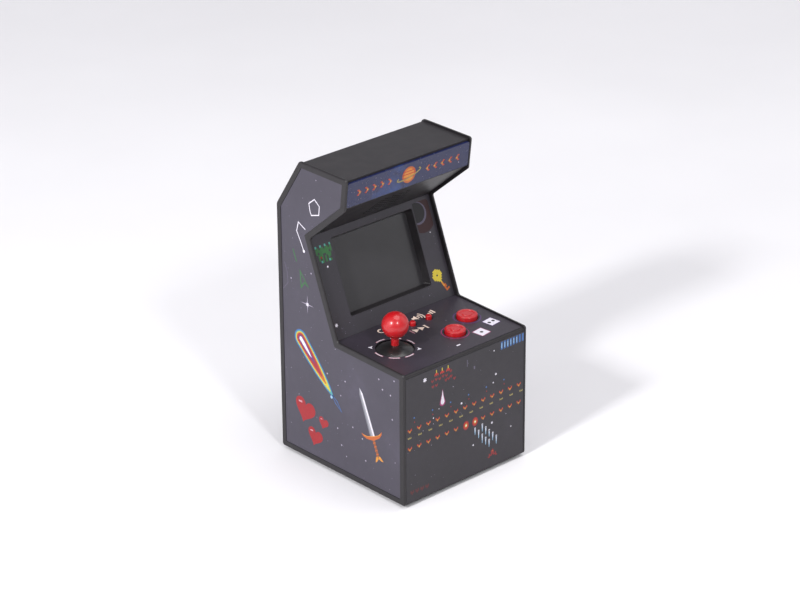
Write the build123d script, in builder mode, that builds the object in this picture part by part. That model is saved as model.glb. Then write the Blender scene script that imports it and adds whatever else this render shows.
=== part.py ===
from build123d import *

import os

# Palm-size arcade machine, in millimetres. Origin at the middle of the footprint, on the surface
# that it stands on. +Z is up, the player stands on the -Y side, and +X is the player's right.

# ---- overall size and side outline (Y, Z) ----
WIDTH = 80.0
DEPTH = 88.0
HEIGHT = 156.0
FRONT_Y = -DEPTH / 2
BACK_Y = DEPTH / 2
FOOT_HEIGHT = 2.0
RIM_FOOT_Z = 1.5
DECK_FRONT_Z = 70.0
DECK_RISE = 1.2
DECK_LENGTH = 46.0
BEZEL_LEAN = 18.5
BEZEL_RISE = 47.3
BROW_REACH = 25.0
BROW_RISE = 21.0
MARQUEE_LEAN = 2.0
ROOF_LENGTH = 33.5
BACK_SLOPE_DROP = 26.0

# ---- mouldings ----
RIM_WIDTH = 1.2
RIM_ROUND = 0.7
RIM_INNER_ROUND = 0.3
PANEL_PAD = 1.0
RIM_CORNER = 1.5
ROOF_CORNER = 3.0
RIM_PROUD = 1.0
FRONT_PROUD = 0.4
BEZEL_DEPTH = 2.5
BROW_DEPTH = 1.5
SHELL_FOOT = 0.5
WALL = 2.0
DECK_EDGE_ROUND = 1.2
BASE_THICKNESS = 2.4
FIT_GAP = 0.1
MOVING_GAP = 0.3

# ---- printed stickers ----
STICKER = 0.2
SIDE_STICKER = 0.2
SIDE_STICKER_MARGIN = 3.0
SIDE_STICKER_SUNK = 0.2
STICKER_EDGE = 0.4
STICKER_SIDE_EDGE = 0.2
STICKER_HOLE_GAP = 0.2
DECK_STICKER_FRONT = 1.6

# ---- screws ----
THREAD_R = 1.0
THREAD_GAP = 0.03
CLEAR_R = 1.2
HEAD_R = 1.9
HEAD_HEIGHT = 0.9
CROSS_LENGTH = 2.3
CROSS_WIDTH = 0.45
PANEL_BOSS_R = 3.0
PANEL_BOSS_LENGTH = 6.0
PANEL_SCREW = 5.5
BACK_BOSS_SHARES = (0.22, 0.52, 0.86)
POST_R = 2.2
POST_PILOT = 4.0
BOARD_SCREW = 4.5
BASE_BOSS_HEIGHT = 5.2
BASE_BOSS_X = 28.0
BASE_SCREW = 5.0
BOSS_INSET = 2.5

# ---- screen ----
SCREEN_W = 52.0
SCREEN_H = 38.5
SCREEN_LOW = 9.0
SCREEN_RECESS = 4.0
SCREEN_TAPER = 1.0
SCREEN_FRAME = 3.0
WINDOW_THICKNESS = 1.0
LCD_W = 58.0
LCD_H = 44.0
LCD_THICKNESS = 2.6
FRAME_WALL = 1.5
FRAME_EAR_REACH = 2.6
FRAME_EAR_SPREAD = 28.0
FRAME_EAR_THICKNESS = 1.5
FRAME_OPENING = (0.7, 0.6)
BOARD_THICKNESS = 1.2
MAIN_BOARD_W = 60.0
MAIN_BOARD_H = 48.0
MAIN_BOARD_GAP = 4.7
MAIN_BOARD_LIFT = 1.75
CHIPS = [(-8.0, 4.0, 12.0, 12.0), (10.0, 8.0, 8.0, 6.0), (10.0, -4.0, 6.0, 5.0)]
CHIP_HEIGHT = 1.2
CAPACITORS = [(18.0, 2.0), (18.0, 9.0)]
CAPACITOR_R = 2.0
CAPACITOR_HEIGHT = 4.0
STANDOFF_R = 2.0
STANDOFF_X = 26.0
STANDOFF_SPREAD = 36.0
RIBBON = 0.3
SCREEN_RIBBON_W = 12.0
RIBBON_SLACK = 3.5

# ---- speaker and marquee ----
SPEAKER_R = 11.5
SPEAKER_DEPTH = 5.0
SPEAKER_RIM_DEPTH = 2.0
SPEAKER_MAGNET_R = 6.9
SPEAKER_RING = 1.7
GRILLE_HOLE_R = 0.75
GRILLE_PITCH = 2.6
GRILLE_COLUMNS = 9
GRILLE_ROWS = 7
MARQUEE_THICKNESS = 1.2
MARQUEE_MARGIN = 1.2
MARQUEE_CORNER = 1.0

# ---- play buttons: x, y from the front edge of the deck ----
BUTTON_A = (10.5, 18.5)
BUTTON_B = (26.0, 26.5)
BUTTON_R = 5.1
BUTTON_HEIGHT = 2.3
BUTTON_TRAVEL = 1.2
BUTTON_FLANGE = 0.9
BUTTON_FLANGE_HEIGHT = 1.0
BUTTON_STEM_R = 2.0
BUTTON_ROUND = 0.5
BUTTON_DISH_R = 3.7
BUTTON_DISH = 0.3
BUTTON_RING_R = 2.4
DOME_R = 4.6
SMALL_BUTTONS = {"reset_button": (-9.7, 37.8), "start_button": (0.9, 37.8), "volume_button": (11.4, 37.8)}
SMALL_R = 1.5
SMALL_HEIGHT = 2.0
SMALL_FLANGE = 0.6
SMALL_FLANGE_HEIGHT = 0.7
SMALL_STEM_R = 1.1
SMALL_ROUND = 0.4
SMALL_DOME_R = 2.2
BUTTON_BOARD_DEPTH = 8.0
DOME_HEIGHT = 3.0
DOME_GAP = 0.1
DOME_SKIRT_SHARE = 0.2
DOME_FOOT_SHARE = 0.85
DOME_TOP_SHARE = 0.55
BOARD_EDGE = 1.0
BOARD_LEFT_ROOM = 4.0
ARM_ROOM = 2.0
BUTTON_POSTS = [(1.0, 10.5), (31.0, 12.0), (31.5, 40.0), (5.5, 30.0)]

# ---- joystick ----
STICK_AT = (-22.3, 25.1)
DUST_DOME_R = 17.5
DUST_DOME_HEIGHT = 2.2
DUST_DOME_WALL = 1.2
DUST_DOME_ANGLE = 41.0
DUST_DOME_GAP = 0.35
BALL_R = 6.5
BALL_ABOVE_DECK = 12.4
STICK_R = 1.85
SPIGOT_R = 1.2
SPIGOT_LENGTH = 6.0
COLLAR_R = 3.5
COLLAR_HEIGHT = 1.8
SHOULDER_R = 2.6
SHOULDER_HEIGHT = 1.0
HUB_R = 3.2
PIN_R = 1.0
PIN_GAP = 0.05
PIN_END_GAP = 0.2
GIMBAL_R = 6.5
GIMBAL_BORE_R = 4.6
GIMBAL_HEIGHT = 4.0
HOUSING_INNER = 7.4
HOUSING_WALL = 2.0
HOUSING_ABOVE = 3.2
ROCKER_R = 6.5
ROCKER_TOP = 4.2
ROCKER_THICKNESS = 1.3
ROCKER_RIM = 0.8
ROCKER_HUB_R = 2.4
FOOT_SPIGOT_R = 1.4
STICK_BOARD_DROP = 7.9
STICK_DOME_R = 1.6
STICK_DOME_RING = 4.8
STICK_DOME_HEIGHT = 2.0
STICK_POSTS = [(-12.0, -12.5), (12.0, -12.5), (-12.0, 12.5)]
STICK_BOARD_MARGIN = 2.2

# ---- power ----
CELL_LENGTH = 50.5
CELL_PITCH = 15.0
CELL_COUNT = 3
CELL_END_ROOM = 2.75
BAY_DEPTH = 15.5
BAY_LOW_Z = 12.5
BAY_WALL = 2.5
BAY_BACK = 1.5
DOOR_LEDGE = 1.0
DOOR_THICKNESS = 1.7
DOOR_EAR_R = 4.0
DOOR_EAR_THICKNESS = 0.9
DOOR_EAR_RISE = 4.5
DOOR_RIB = 1.0
CONTACT = 0.4
CONTACT_SIZE = 10.0
SPRING_WIRE_R = 0.3
SPRING_R = 3.4
SPRING_LENGTH = 4.6
SPRING_PITCH = 1.15
SWITCH_AT = (22.0, 86.0)
SWITCH_W = 11.0
SWITCH_H = 5.0
SWITCH_DEPTH = 4.0
SWITCH_SLOT_W = 7.0
SWITCH_SLOT_H = 2.8
KNOB_W = 3.0
KNOB_TRAVEL = 3.0
KNOB_PROUD = 0.5
KNOB_GROOVES = 3
KNOB_GROOVE = 0.33
KNOB_GROOVE_DEPTH = 0.3
LEAD_R = 0.6
LEAD_SPACING = 2.0
LEAD_X = 22.0
LEAD_PLUG = 4.0
LEAD_RUN = 6.0
LEAD_BEND = 2.5
CONTROL_RIBBON_X = 14.0
CONTROL_RIBBON_W = 8.0
RIBBON_BEND = 1.5
DOOR_SCREW = 6.0
GRIP_PITCH = 2.6
GRIP_COUNT = 5
GRIP_LENGTH = 14.0
GRIP_WIDTH = 1.2
GRIP_DEPTH = 0.5

# ---- feet ----
FOOT_R = 4.5
FOOT_INSET = 8.0
FOOT_STEM_R = 1.6
FOOT_ROUND = 0.5


def toward(start, end):
    """Unit direction in the side view from one point to another."""
    return (Vector(*end) - Vector(*start)).normalized()


def inward_of(along):
    """Direction into the machine from a side walked clockwise."""
    return Vector(along.Y, -along.X)


def inset(outline, depths):
    """Move every side of a clockwise outline inward by its own depth and meet the sides again."""
    sides = []
    for index, (start, depth) in enumerate(zip(outline, depths)):
        along = toward(start, outline[(index + 1) % len(outline)])
        sides.append((Vector(*start) + inward_of(along) * depth, along))
    corners = []
    for (first, run), (second, next_run) in zip([sides[-1]] + sides[:-1], sides):
        reach = (second - first).cross(next_run).Z / run.cross(next_run).Z
        corner = first + run * reach
        corners.append((corner.X, corner.Y))
    return corners


def beside(outline, side, along, inward):
    """Point at a distance along one side of an outline and into the machine from it."""
    run = toward(outline[side], outline[(side + 1) % len(outline)])
    point = Vector(*outline[side]) + run * along + inward_of(run) * inward
    return (point.X, point.Y)


def face_plane(outline, side):
    """Plane on one side of an outline: x to the player's right, y along the side, z out of the machine."""
    run = toward(outline[side], outline[(side + 1) % len(outline)])
    outward = inward_of(run) * -1
    return Plane(
        origin=(0, outline[side][0], outline[side][1]), x_dir=(1, 0, 0), z_dir=(0, outward.X, outward.Y)
    )


def outline_face(outline, mode=Mode.ADD):
    """Fill a closed outline inside the sketch that is being drawn."""
    Polygon(*outline, align=None, mode=mode)


def save(part, label):
    """Name a finished piece and write it."""
    part.label = label
    export_step(part, f"parts/{label}.step")


def screws(seats, length, head_height=HEAD_HEIGHT):
    """Pan head screws, each seated on a plane whose z points out of its head."""
    with BuildPart() as group:
        with Locations(*seats):
            Cylinder(HEAD_R, head_height, align=(Align.CENTER, Align.CENTER, Align.MIN))
            Cylinder(THREAD_R, length, align=(Align.CENTER, Align.CENTER, Align.MAX))
        slots = [seat.offset(head_height) for seat in seats]
        with Locations(*slots):
            Box(CROSS_LENGTH, CROSS_WIDTH, head_height, mode=Mode.SUBTRACT)
            Box(CROSS_WIDTH, CROSS_LENGTH, head_height, mode=Mode.SUBTRACT)
    return group.part


def silicone_domes(seats, radius, height):
    """Moulded keypad domes, each standing on a plane at its board."""
    with BuildPart() as group:
        with Locations(*seats):
            Cylinder(radius, height * DOME_SKIRT_SHARE, align=(Align.CENTER, Align.CENTER, Align.MIN))
            Cone(
                radius * DOME_FOOT_SHARE,
                radius * DOME_TOP_SHARE,
                height,
                align=(Align.CENTER, Align.CENTER, Align.MIN),
            )
    return group.part


def leads(route, radius):
    """Two round leads side by side along a route in the side view."""
    with BuildPart() as pair:
        for side in (-1, 1):
            points = [(x + side * LEAD_SPACING / 2, y, z) for x, y, z in route]
            with BuildLine():
                path = FilletPolyline(*points, radius=radius)
            with BuildSketch(Plane(origin=path @ 0, z_dir=path % 0)):
                Circle(LEAD_R)
            sweep()
    return pair.part


def ribbon(route, radius, plane, width):
    """Flat cable of the given width, drawn as a route on a plane through its middle."""
    with BuildPart() as cable:
        with BuildSketch(plane):
            with BuildLine():
                FilletPolyline(*route, radius=radius)
            trace(line_width=RIBBON)
        extrude(amount=width / 2, both=True)
    return cable.part


os.makedirs("parts", exist_ok=True)

# ---- side outlines ----
FRONT, DECK, BEZEL, BROW, MARQUEE, ROOF, SLOPE, BACK, FOOT = range(9)
valley = (FRONT_Y + DECK_LENGTH, DECK_FRONT_Z + DECK_RISE)
bezel_top = (valley[0] + BEZEL_LEAN, valley[1] + BEZEL_RISE)
brow_tip = (bezel_top[0] - BROW_REACH, bezel_top[1] + BROW_RISE)
roof_front = (brow_tip[0] - MARQUEE_LEAN, HEIGHT)
roof_back = (roof_front[0] + ROOF_LENGTH, HEIGHT)
rim_outline = [
    (FRONT_Y, RIM_FOOT_Z),
    (FRONT_Y, DECK_FRONT_Z),
    valley,
    bezel_top,
    brow_tip,
    roof_front,
    roof_back,
    (BACK_Y, HEIGHT - BACK_SLOPE_DROP),
    (BACK_Y, RIM_FOOT_Z),
]
shell_depths = [
    FRONT_PROUD, RIM_PROUD, BEZEL_DEPTH, BROW_DEPTH, BROW_DEPTH, RIM_PROUD, RIM_PROUD, RIM_PROUD, SHELL_FOOT
]
shell_outline = inset(rim_outline, shell_depths)
open_below = DEPTH  # the inside is drawn this far past the foot, which leaves the shells open below
inner_outline = inset(rim_outline, [depth + WALL for depth in shell_depths[:-1]] + [-open_below])
inner_width = WIDTH - 2 * RIM_WIDTH
seat_width = inner_width - 2 * PANEL_PAD
shell_front = FRONT_Y + FRONT_PROUD
shell_back = BACK_Y - RIM_PROUD
base_top = FOOT_HEIGHT + BASE_THICKNESS
shell_split = brow_tip[0] + PANEL_BOSS_R * 3
split_z = (bezel_top[1] + HEIGHT) / 2 + BROW_RISE / 4
split_back = bezel_top[0] + BEZEL_LEAN / 2
rear_zone = [
    (shell_split, split_z),
    (shell_split, HEIGHT * 2),
    (DEPTH, HEIGHT * 2),
    (DEPTH, -DEPTH),
    (split_back, -DEPTH),
    (split_back, split_z),
]

# ---- working planes ----
deck_front = beside(rim_outline, DECK, 0, RIM_PROUD)
deck = Plane(
    origin=(0, *deck_front), x_dir=(1, 0, 0), z_dir=face_plane(rim_outline, DECK).z_dir
)
deck_under = deck.offset(-WALL)
bezel_start = beside(rim_outline, BEZEL, 0, BEZEL_DEPTH)
bezel = Plane(
    origin=(0, *bezel_start), x_dir=(1, 0, 0), z_dir=face_plane(rim_outline, BEZEL).z_dir
)
screen_mid = SCREEN_LOW + SCREEN_H / 2
brow = face_plane(shell_outline, BROW)
brow_length = (Vector(*shell_outline[MARQUEE]) - Vector(*shell_outline[BROW])).length
marquee = face_plane(shell_outline, MARQUEE)
marquee_length = (Vector(*shell_outline[ROOF]) - Vector(*shell_outline[MARQUEE])).length


def on_plane(plane, x, y, height=0.0):
    """Copy of a plane moved to a place on it."""
    return Plane(origin=plane.from_local_coords((x, y, height)), x_dir=plane.x_dir, z_dir=plane.z_dir)


# ---- screw places ----
front_bosses = [
    beside(inner_outline, FRONT, open_below + base_top + PANEL_BOSS_R * 4, BOSS_INSET),
    beside(inner_outline, FRONT, open_below + DECK_FRONT_Z - PANEL_BOSS_R * 5, BOSS_INSET),
    beside(inner_outline, DECK, DECK_LENGTH - PANEL_BOSS_R * 2, BOSS_INSET),
    beside(inner_outline, MARQUEE, PANEL_BOSS_R, BOSS_INSET),
]
back_wall_length = HEIGHT - BACK_SLOPE_DROP
rear_bosses = [
    beside(inner_outline, SLOPE, PANEL_BOSS_R * 2, BOSS_INSET),
]
rear_bosses += [
    beside(inner_outline, BACK, back_wall_length * share, BOSS_INSET) for share in BACK_BOSS_SHARES
]
panel_bosses = front_bosses + rear_bosses
base_boss_places = [
    (x, y)
    for x in (-BASE_BOSS_X, BASE_BOSS_X)
    for y in (shell_front + WALL + BOSS_INSET, shell_back - WALL - BOSS_INSET)
]


def panel_boss_rows(places):
    """Bosses inside both ends of a shell that take the side panels' screws."""
    for side in (-1, 1):
        end = Plane.YZ.offset(side * seat_width / 2)
        with BuildSketch(end) as posts:
            with Locations(*places):
                Circle(PANEL_BOSS_R)
        extrude(posts.sketch, amount=-side * PANEL_BOSS_LENGTH)
        with BuildSketch(end) as pilots:
            with Locations(*places):
                Circle(THREAD_R + THREAD_GAP)
        extrude(pilots.sketch, amount=-side * (PANEL_BOSS_LENGTH - 1), mode=Mode.SUBTRACT)


def base_bosses(places):
    """Upright bosses on a shell's wall that take the base plate's screws."""
    with BuildSketch(Plane.XY.offset(base_top)) as posts:
        with Locations(*places):
            Circle(PANEL_BOSS_R)
    extrude(posts.sketch, amount=BASE_BOSS_HEIGHT)
    with BuildSketch(Plane.XY.offset(base_top)) as pilots:
        with Locations(*places):
            Circle(THREAD_R + THREAD_GAP)
    extrude(pilots.sketch, amount=BASE_BOSS_HEIGHT - 1, mode=Mode.SUBTRACT)


# ---- side panels, their stickers and screws ----
sticker_outline = inset(rim_outline, [SIDE_STICKER_MARGIN] * len(rim_outline))
recess_depth = SIDE_STICKER + SIDE_STICKER_SUNK
pad_outline = inset(
    rim_outline, [depth + WALL + FIT_GAP for depth in shell_depths[:-1]] + [SHELL_FOOT + FIT_GAP]
)
head_seat = WIDTH / 2 - recess_depth - HEAD_HEIGHT - FIT_GAP


def corner_of(sketch, outline, side):
    """Vertex of a sketch at one corner of an outline."""
    return sketch.vertices().sort_by_distance(Vector(*outline[side]))[0]


def rounded_rim(sketch):
    """Round the corners of the side outline."""
    for side, radius in (
        (DECK, RIM_CORNER), (BEZEL, RIM_CORNER), (BROW, RIM_CORNER), (MARQUEE, RIM_CORNER),
        (ROOF, RIM_CORNER), (SLOPE, ROOF_CORNER), (BACK, ROOF_CORNER), (FOOT, RIM_CORNER),
        (FRONT, RIM_CORNER),
    ):
        fillet(corner_of(sketch, rim_outline, side), radius)


for side, name in ((-1, "left"), (1, "right")):
    with BuildPart() as panel:
        with BuildSketch(Plane.YZ.offset(side * inner_width / 2)) as panel_outline:
            outline_face(rim_outline)
            rounded_rim(panel_outline)
        extrude(amount=side * RIM_WIDTH)
        outer = panel.faces().sort_by(Axis.X)[-1 if side > 0 else 0]
        inner = panel.faces().sort_by(Axis.X)[0 if side > 0 else -1]
        fillet(outer.edges(), RIM_ROUND)
        fillet(inner.edges(), RIM_INNER_ROUND)
        with BuildSketch(Plane.YZ.offset(side * seat_width / 2)):
            outline_face(pad_outline)
        extrude(amount=side * PANEL_PAD)
        with BuildSketch(Plane.YZ.offset(side * WIDTH / 2)):
            outline_face(sticker_outline)
        extrude(amount=-side * recess_depth, mode=Mode.SUBTRACT)
        with BuildSketch(Plane.YZ.offset(side * WIDTH / 2)):
            with Locations(*panel_bosses):
                Circle(HEAD_R + FIT_GAP)
        extrude(amount=-side * (WIDTH / 2 - head_seat), mode=Mode.SUBTRACT)
        with BuildSketch(Plane.YZ.offset(side * WIDTH / 2)):
            with Locations(*panel_bosses):
                Circle(CLEAR_R)
        extrude(amount=-side * (RIM_WIDTH + PANEL_PAD + 1), mode=Mode.SUBTRACT)
    save(panel.part, f"{name}_side_panel")

    with BuildPart() as sticker:
        with BuildSketch(Plane.YZ.offset(side * (WIDTH / 2 - recess_depth))):
            outline_face(inset(rim_outline, [SIDE_STICKER_MARGIN + FIT_GAP] * len(rim_outline)))
        extrude(amount=side * SIDE_STICKER)
    save(sticker.part, f"{name}_side_sticker")

panel_seats = [
    Plane(origin=(side * head_seat, y, z), x_dir=(0, 1, 0), z_dir=(side, 0, 0))
    for side in (-1, 1)
    for y, z in panel_bosses
]
save(screws(panel_seats, PANEL_SCREW), "panel_screws")

# ---- front shell: front, deck, bezel, brow and marquee in one moulding ----
pivot = on_plane(deck, *STICK_AT, DUST_DOME_HEIGHT - DUST_DOME_R)
button_places = [BUTTON_A, BUTTON_B]
small_places = list(SMALL_BUTTONS.values())
pocket_w = max(LCD_W, SCREEN_W + 2 * SCREEN_FRAME) + 2 * FIT_GAP
pocket_h = max(LCD_H, SCREEN_H + 2 * SCREEN_FRAME) + 2 * FIT_GAP
ear_x = pocket_w / 2 + FRAME_WALL + FRAME_EAR_REACH
ear_places = [
    (x, screen_mid + y)
    for x in (-ear_x, ear_x)
    for y in (-FRAME_EAR_SPREAD / 2, FRAME_EAR_SPREAD / 2)
]
frame_front = -SCREEN_RECESS
frame_back = frame_front - WINDOW_THICKNESS - LCD_THICKNESS
ear_front = frame_back + FRAME_EAR_THICKNESS
stick_posts = [(STICK_AT[0] + x, STICK_AT[1] + y) for x, y in STICK_POSTS]
stick_board_depth = DUST_DOME_R - DUST_DOME_HEIGHT + STICK_BOARD_DROP
grille = Plane(
    origin=brow.from_local_coords((0, brow_length / 2, 0)), x_dir=(1, 0, 0), z_dir=brow.z_dir
)

with BuildPart() as front_shell:
    with BuildSketch(Plane.YZ) as front_profile:
        outline_face(shell_outline)
        fillet(corner_of(front_profile, shell_outline, DECK), DECK_EDGE_ROUND)
        outline_face(inner_outline, Mode.SUBTRACT)
        outline_face(rear_zone, Mode.SUBTRACT)
    extrude(amount=inner_width / 2, both=True)
    panel_boss_rows(front_bosses)
    base_bosses(base_boss_places[::2])
    with BuildSketch(bezel.offset(-WALL)):
        with Locations((0, screen_mid)):
            Rectangle(SCREEN_W + 2 * SCREEN_FRAME, SCREEN_H + 2 * SCREEN_FRAME)
    extrude(amount=WALL - SCREEN_RECESS)
    with BuildSketch(bezel):
        with Locations((0, screen_mid)):
            RectangleRounded(SCREEN_W, SCREEN_H, SCREEN_TAPER)
    with BuildSketch(bezel.offset(-SCREEN_RECESS)):
        with Locations((0, screen_mid)):
            RectangleRounded(SCREEN_W - 2 * SCREEN_TAPER, SCREEN_H - 2 * SCREEN_TAPER, SCREEN_TAPER)
    loft(mode=Mode.SUBTRACT)
    with BuildSketch(bezel.offset(-WALL)):
        with Locations(*ear_places):
            Circle(POST_R)
    extrude(amount=ear_front + WALL)
    with BuildSketch(bezel.offset(ear_front)):
        with Locations(*ear_places):
            Circle(THREAD_R + THREAD_GAP)
    extrude(amount=POST_PILOT, mode=Mode.SUBTRACT)
    with BuildSketch(deck_under):
        with Locations(*stick_posts):
            Circle(POST_R)
    extrude(amount=WALL - stick_board_depth)
    with BuildSketch(deck_under):
        with Locations(*BUTTON_POSTS):
            Circle(POST_R)
    extrude(amount=WALL - BUTTON_BOARD_DEPTH)
    with BuildSketch(deck.offset(-stick_board_depth)):
        with Locations(*stick_posts):
            Circle(THREAD_R + THREAD_GAP)
    extrude(amount=POST_PILOT, mode=Mode.SUBTRACT)
    with BuildSketch(deck.offset(-BUTTON_BOARD_DEPTH)):
        with Locations(*BUTTON_POSTS):
            Circle(THREAD_R + THREAD_GAP)
    extrude(amount=POST_PILOT, mode=Mode.SUBTRACT)
    with BuildSketch(deck.offset(WALL)):
        with Locations(*button_places):
            Circle(BUTTON_R + MOVING_GAP)
        with Locations(*small_places):
            Circle(SMALL_R + MOVING_GAP)
    extrude(amount=-3 * WALL, mode=Mode.SUBTRACT)
    with Locations(pivot):
        Sphere(DUST_DOME_R + DUST_DOME_GAP, mode=Mode.SUBTRACT)
    with BuildSketch(grille):
        with HexLocations(GRILLE_PITCH / 2, GRILLE_COLUMNS, GRILLE_ROWS):
            Circle(GRILLE_HOLE_R)
    extrude(amount=-2 * WALL, mode=Mode.SUBTRACT)
save(front_shell.part, "front_shell")

# ---- rear shell ----
bay_length = CELL_LENGTH + 2 * CELL_END_ROOM
bay_height = CELL_PITCH * CELL_COUNT
bay_mid_z = BAY_LOW_Z + bay_height / 2
door_w = bay_length + 2 * DOOR_LEDGE
door_h = bay_height + 2 * DOOR_LEDGE
ear_z = bay_mid_z + bay_height / 2 + BAY_WALL + DOOR_EAR_RISE
wall_inside = shell_back - WALL
ear_floor = -DOOR_EAR_THICKNESS - MOVING_GAP


def door_shape(grow):
    """Plate of the battery door, grown on every side."""
    with Locations((0, bay_mid_z)):
        Rectangle(door_w + 2 * grow, door_h + 2 * grow)


def ear_shape(grow):
    """Screw ear at the top of the battery door and the neck that joins it, grown on every side."""
    with Locations((0, ear_z)):
        Circle(DOOR_EAR_R + grow)
    with Locations((0, (ear_z + bay_mid_z) / 2)):
        Rectangle(2 * (DOOR_EAR_R + grow), ear_z - bay_mid_z)


with BuildPart() as rear_shell:
    with BuildSketch(Plane.YZ):
        outline_face(shell_outline)
        outline_face(inner_outline, Mode.SUBTRACT)
        outline_face(rear_zone, Mode.INTERSECT)
    extrude(amount=inner_width / 2, both=True)
    panel_boss_rows(rear_bosses)
    base_bosses(base_boss_places[1::2])
    with BuildSketch(Plane.XZ.offset(-wall_inside)):
        with Locations((0, ear_z)):
            Circle(PANEL_BOSS_R)
    extrude(amount=PANEL_BOSS_LENGTH)
    with BuildSketch(Plane.XZ.offset(-shell_back)):
        ear_shape(MOVING_GAP)
    extrude(amount=-ear_floor, mode=Mode.SUBTRACT)
    with BuildSketch(Plane.XZ.offset(-shell_back)):
        door_shape(MOVING_GAP)
    extrude(amount=WALL, mode=Mode.SUBTRACT)
    with BuildSketch(Plane.XZ.offset(-shell_back)):
        with Locations((0, ear_z)):
            Circle(THREAD_R + MOVING_GAP)
    extrude(amount=WALL + PANEL_BOSS_LENGTH - 1, mode=Mode.SUBTRACT)
    with BuildSketch(Plane.XZ.offset(-shell_back)):
        with Locations(SWITCH_AT):
            Rectangle(SWITCH_SLOT_W, SWITCH_SLOT_H)
    extrude(amount=WALL, mode=Mode.SUBTRACT)
save(rear_shell.part, "rear_shell")

# ---- base plate, feet and base screws ----
base_length = shell_back - shell_front - 2 * WALL - 2 * FIT_GAP
base_width = seat_width - 2 * FIT_GAP
foot_places = [
    (x, y)
    for x in (FOOT_INSET - WIDTH / 2, WIDTH / 2 - FOOT_INSET)
    for y in (FRONT_Y + FOOT_INSET * 2, BACK_Y - FOOT_INSET * 2)
]
with BuildPart() as base_plate:
    with BuildSketch(Plane.XY.offset(FOOT_HEIGHT)):
        with Locations((0, (shell_front + shell_back) / 2)):
            Rectangle(base_width, base_length)
    extrude(amount=BASE_THICKNESS)
    with BuildSketch(Plane.XY.offset(FOOT_HEIGHT)):
        with Locations(*base_boss_places):
            Circle(HEAD_R + FIT_GAP)
    extrude(amount=HEAD_HEIGHT + FIT_GAP, mode=Mode.SUBTRACT)
    with BuildSketch(Plane.XY.offset(FOOT_HEIGHT)):
        with Locations(*base_boss_places):
            Circle(CLEAR_R)
        with Locations(*foot_places):
            Circle(FOOT_STEM_R)
    extrude(amount=BASE_THICKNESS, mode=Mode.SUBTRACT)
save(base_plate.part, "base_plate")

with BuildPart() as rubber_feet:
    with BuildSketch(Plane.XY):
        with Locations(*foot_places):
            Circle(FOOT_R)
    extrude(amount=FOOT_HEIGHT)
    fillet(rubber_feet.edges().group_by(Axis.Z)[0], FOOT_ROUND)
    with BuildSketch(Plane.XY.offset(FOOT_HEIGHT)):
        with Locations(*foot_places):
            Circle(FOOT_STEM_R - THREAD_GAP)
    extrude(amount=BASE_THICKNESS)
save(rubber_feet.part, "rubber_feet")

base_seat_z = FOOT_HEIGHT + HEAD_HEIGHT + FIT_GAP
base_seats = [Plane(origin=(x, y, base_seat_z), z_dir=(0, 0, -1)) for x, y in base_boss_places]
save(screws(base_seats, BASE_SCREW), "base_screws")

# ---- printed stickers of the front shell, and the marquee panel ----
sticker_width = inner_width - 2 * STICKER_SIDE_EDGE
deck_face_length = (Vector(*shell_outline[BEZEL]) - Vector(*deck_front)).length
deck_sticker_length = deck_face_length - DECK_STICKER_FRONT - STICKER_EDGE / 2
front_top = deck_front[1] - DECK_STICKER_FRONT
front_low = FOOT_HEIGHT + STICKER_EDGE

with BuildPart() as front_sticker:
    with BuildSketch(Plane.XZ.offset(-shell_front)):
        with Locations((0, (front_top + front_low) / 2)):
            Rectangle(sticker_width, front_top - front_low)
    extrude(amount=STICKER)
save(front_sticker.part, "front_sticker")

dome_hole_r = (
    (DUST_DOME_R + DUST_DOME_GAP) ** 2 - (DUST_DOME_R - DUST_DOME_HEIGHT) ** 2
) ** 0.5 + STICKER_HOLE_GAP
with BuildPart() as deck_sticker:
    with BuildSketch(deck):
        with Locations((0, DECK_STICKER_FRONT + deck_sticker_length / 2)):
            Rectangle(sticker_width, deck_sticker_length)
        with Locations(*button_places):
            Circle(BUTTON_R + MOVING_GAP + STICKER_HOLE_GAP, mode=Mode.SUBTRACT)
        with Locations(*small_places):
            Circle(SMALL_R + MOVING_GAP + STICKER_HOLE_GAP, mode=Mode.SUBTRACT)
        with Locations(STICK_AT):
            Circle(dome_hole_r, mode=Mode.SUBTRACT)
    extrude(amount=STICKER)
save(deck_sticker.part, "deck_sticker")

bezel_low = bezel.to_local_coords(Vector(0, *shell_outline[BEZEL])).Y + STICKER_EDGE / 2
bezel_high = bezel.to_local_coords(Vector(0, *shell_outline[BROW])).Y - STICKER_EDGE / 2
with BuildPart() as bezel_sticker:
    with BuildSketch(bezel):
        with Locations((0, (bezel_low + bezel_high) / 2)):
            Rectangle(sticker_width, bezel_high - bezel_low)
        with Locations((0, screen_mid)):
            RectangleRounded(
                SCREEN_W + STICKER_EDGE, SCREEN_H + STICKER_EDGE, SCREEN_TAPER, mode=Mode.SUBTRACT
            )
    extrude(amount=STICKER)
save(bezel_sticker.part, "bezel_sticker")

with BuildPart() as marquee_panel:
    with BuildSketch(marquee):
        with Locations((0, marquee_length / 2)):
            RectangleRounded(sticker_width, marquee_length - 2 * MARQUEE_MARGIN, MARQUEE_CORNER)
    extrude(amount=MARQUEE_THICKNESS)
save(marquee_panel.part, "marquee_panel")

# ---- screen window, LCD, its frame and the main board ----
with BuildPart() as screen_window:
    with BuildSketch(bezel.offset(frame_front)):
        with Locations((0, screen_mid)):
            Rectangle(SCREEN_W + SCREEN_FRAME, SCREEN_H + SCREEN_FRAME)
    extrude(amount=-WINDOW_THICKNESS)
save(screen_window.part, "screen_window")

with BuildPart() as lcd_panel:
    with BuildSketch(bezel.offset(frame_front - WINDOW_THICKNESS)):
        with Locations((0, screen_mid)):
            Rectangle(LCD_W, LCD_H)
    extrude(amount=-LCD_THICKNESS)
save(lcd_panel.part, "lcd_panel")

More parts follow.
